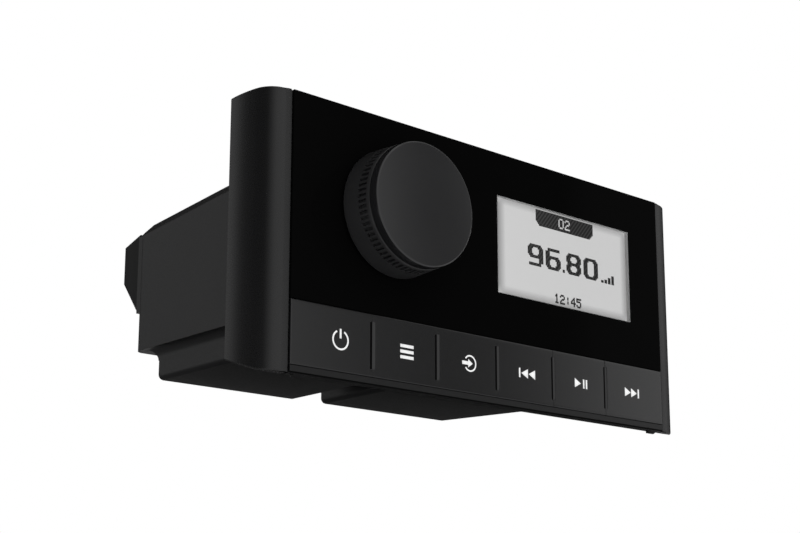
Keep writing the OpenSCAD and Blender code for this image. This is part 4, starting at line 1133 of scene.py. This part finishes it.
floor_paper = stage_finish("pale_paper_floor", "#eeeeee", 0.9)
card_paper = stage_finish("dark_card_paper", "#666666", 0.95)
front_card_paper = stage_finish("grey_card_paper", "#aaaaaa", 0.95)
stage_plane("floor", [
    (-FLOOR_HALF, -FLOOR_HALF, FLOOR_Z), (FLOOR_HALF, -FLOOR_HALF, FLOOR_Z),
    (FLOOR_HALF, FLOOR_HALF, FLOOR_Z), (-FLOOR_HALF, FLOOR_HALF, FLOOR_Z)], floor_paper)
# Azimuth and brightness: a lit front, a dark gap, a light at the front right that fades to the right,
# a dim patch at the rear left, and darkness on the left and behind
WALL_TONES = (
    (-178, 0.035), (-158, 0.035), (-152, 0.56), (-138, 0.6), (-133, 0.36), (-126, 0.04), (-53, 0.04),
    (-16, 0.8), (31, 0.86), (39, 0.03), (48.3, 0.03), (49, 1.0), (60, 1.0), (66, 0.45), (85, 0.25),
    (100, 0.035), (178, 0.035))
wall_paper = graded_wall("graded_studio_wall", WALL_TONES)


def only_mirrored(made):
    """Keeps a stage object out of sight of everything but reflections, also those inside the window."""
    made.visible_camera = False
    made.visible_diffuse = False
    made.visible_shadow = False


def studio_wall(radius, low_degrees, high_degrees):
    """A wall round the object: points of a sphere between two elevations, all the way round."""
    azimuth = np.radians(np.linspace(0, 360, 180, endpoint=False))[:, None]
    elevation = np.radians(np.linspace(low_degrees, high_degrees, 17))[None, :]
    points, faces = sheet(
        radius * np.sin(azimuth) * np.cos(elevation), -radius * np.cos(azimuth) * np.cos(elevation),
        radius * np.sin(elevation), wrap_rows=True)
    mesh = bpy.data.meshes.new("studio_wall")
    mesh.from_pydata(points.tolist(), [], faces)
    mesh.materials.append(wall_paper)
    made = bpy.data.objects.new("studio_wall", mesh)
    scene.collection.objects.link(made)
    only_mirrored(made)


studio_wall(WALL_R, WALL_LOW, WALL_HIGH)
card_left = cad_box[0][0] - CARD_SIDE
card_right = cad_box[1][0] + CARD_SIDE
card_z = cad_box[0][2] - CARD_DROP
card_rows = (LENS_Y * MM, CARD_STEP, cad_box[1][1] + CARD_REAR)
for name, front_y, rear_y, paper in (
        ("grey_card_below", card_rows[0], card_rows[1], front_card_paper),
        ("dark_card_below", card_rows[1], card_rows[2], card_paper)):
    only_mirrored(stage_plane(name, [
        (card_left, front_y, card_z), (card_right, front_y, card_z),
        (card_right, rear_y, card_z), (card_left, rear_y, card_z)], paper))

world = bpy.data.worlds.new("white_studio")
scene.world = world
world.use_nodes = True
sky = world.node_tree
sky.nodes.clear()
rays = add(sky, "ShaderNodeLightPath")
seen = add(sky, "ShaderNodeMath", {"operation": "MAXIMUM"}, {
    0: rays.outputs["Is Camera Ray"], 1: rays.outputs["Is Glossy Ray"]})
seen = add(sky, "ShaderNodeMath", {"operation": "MAXIMUM"}, {
    0: seen.outputs[0], 1: rays.outputs["Is Transmission Ray"]})
fill = add(sky, "ShaderNodeBackground", {}, {"Color": (1, 1, 1, 1), "Strength": WORLD_FILL})
white = add(sky, "ShaderNodeBackground", {}, {"Color": (1, 1, 1, 1), "Strength": 1.0})
both = add(sky, "ShaderNodeMixShader", {}, {0: seen.outputs[0], 1: fill.outputs[0], 2: white.outputs[0]})
add(sky, "ShaderNodeOutputWorld", {}, {"Surface": both.outputs[0]})
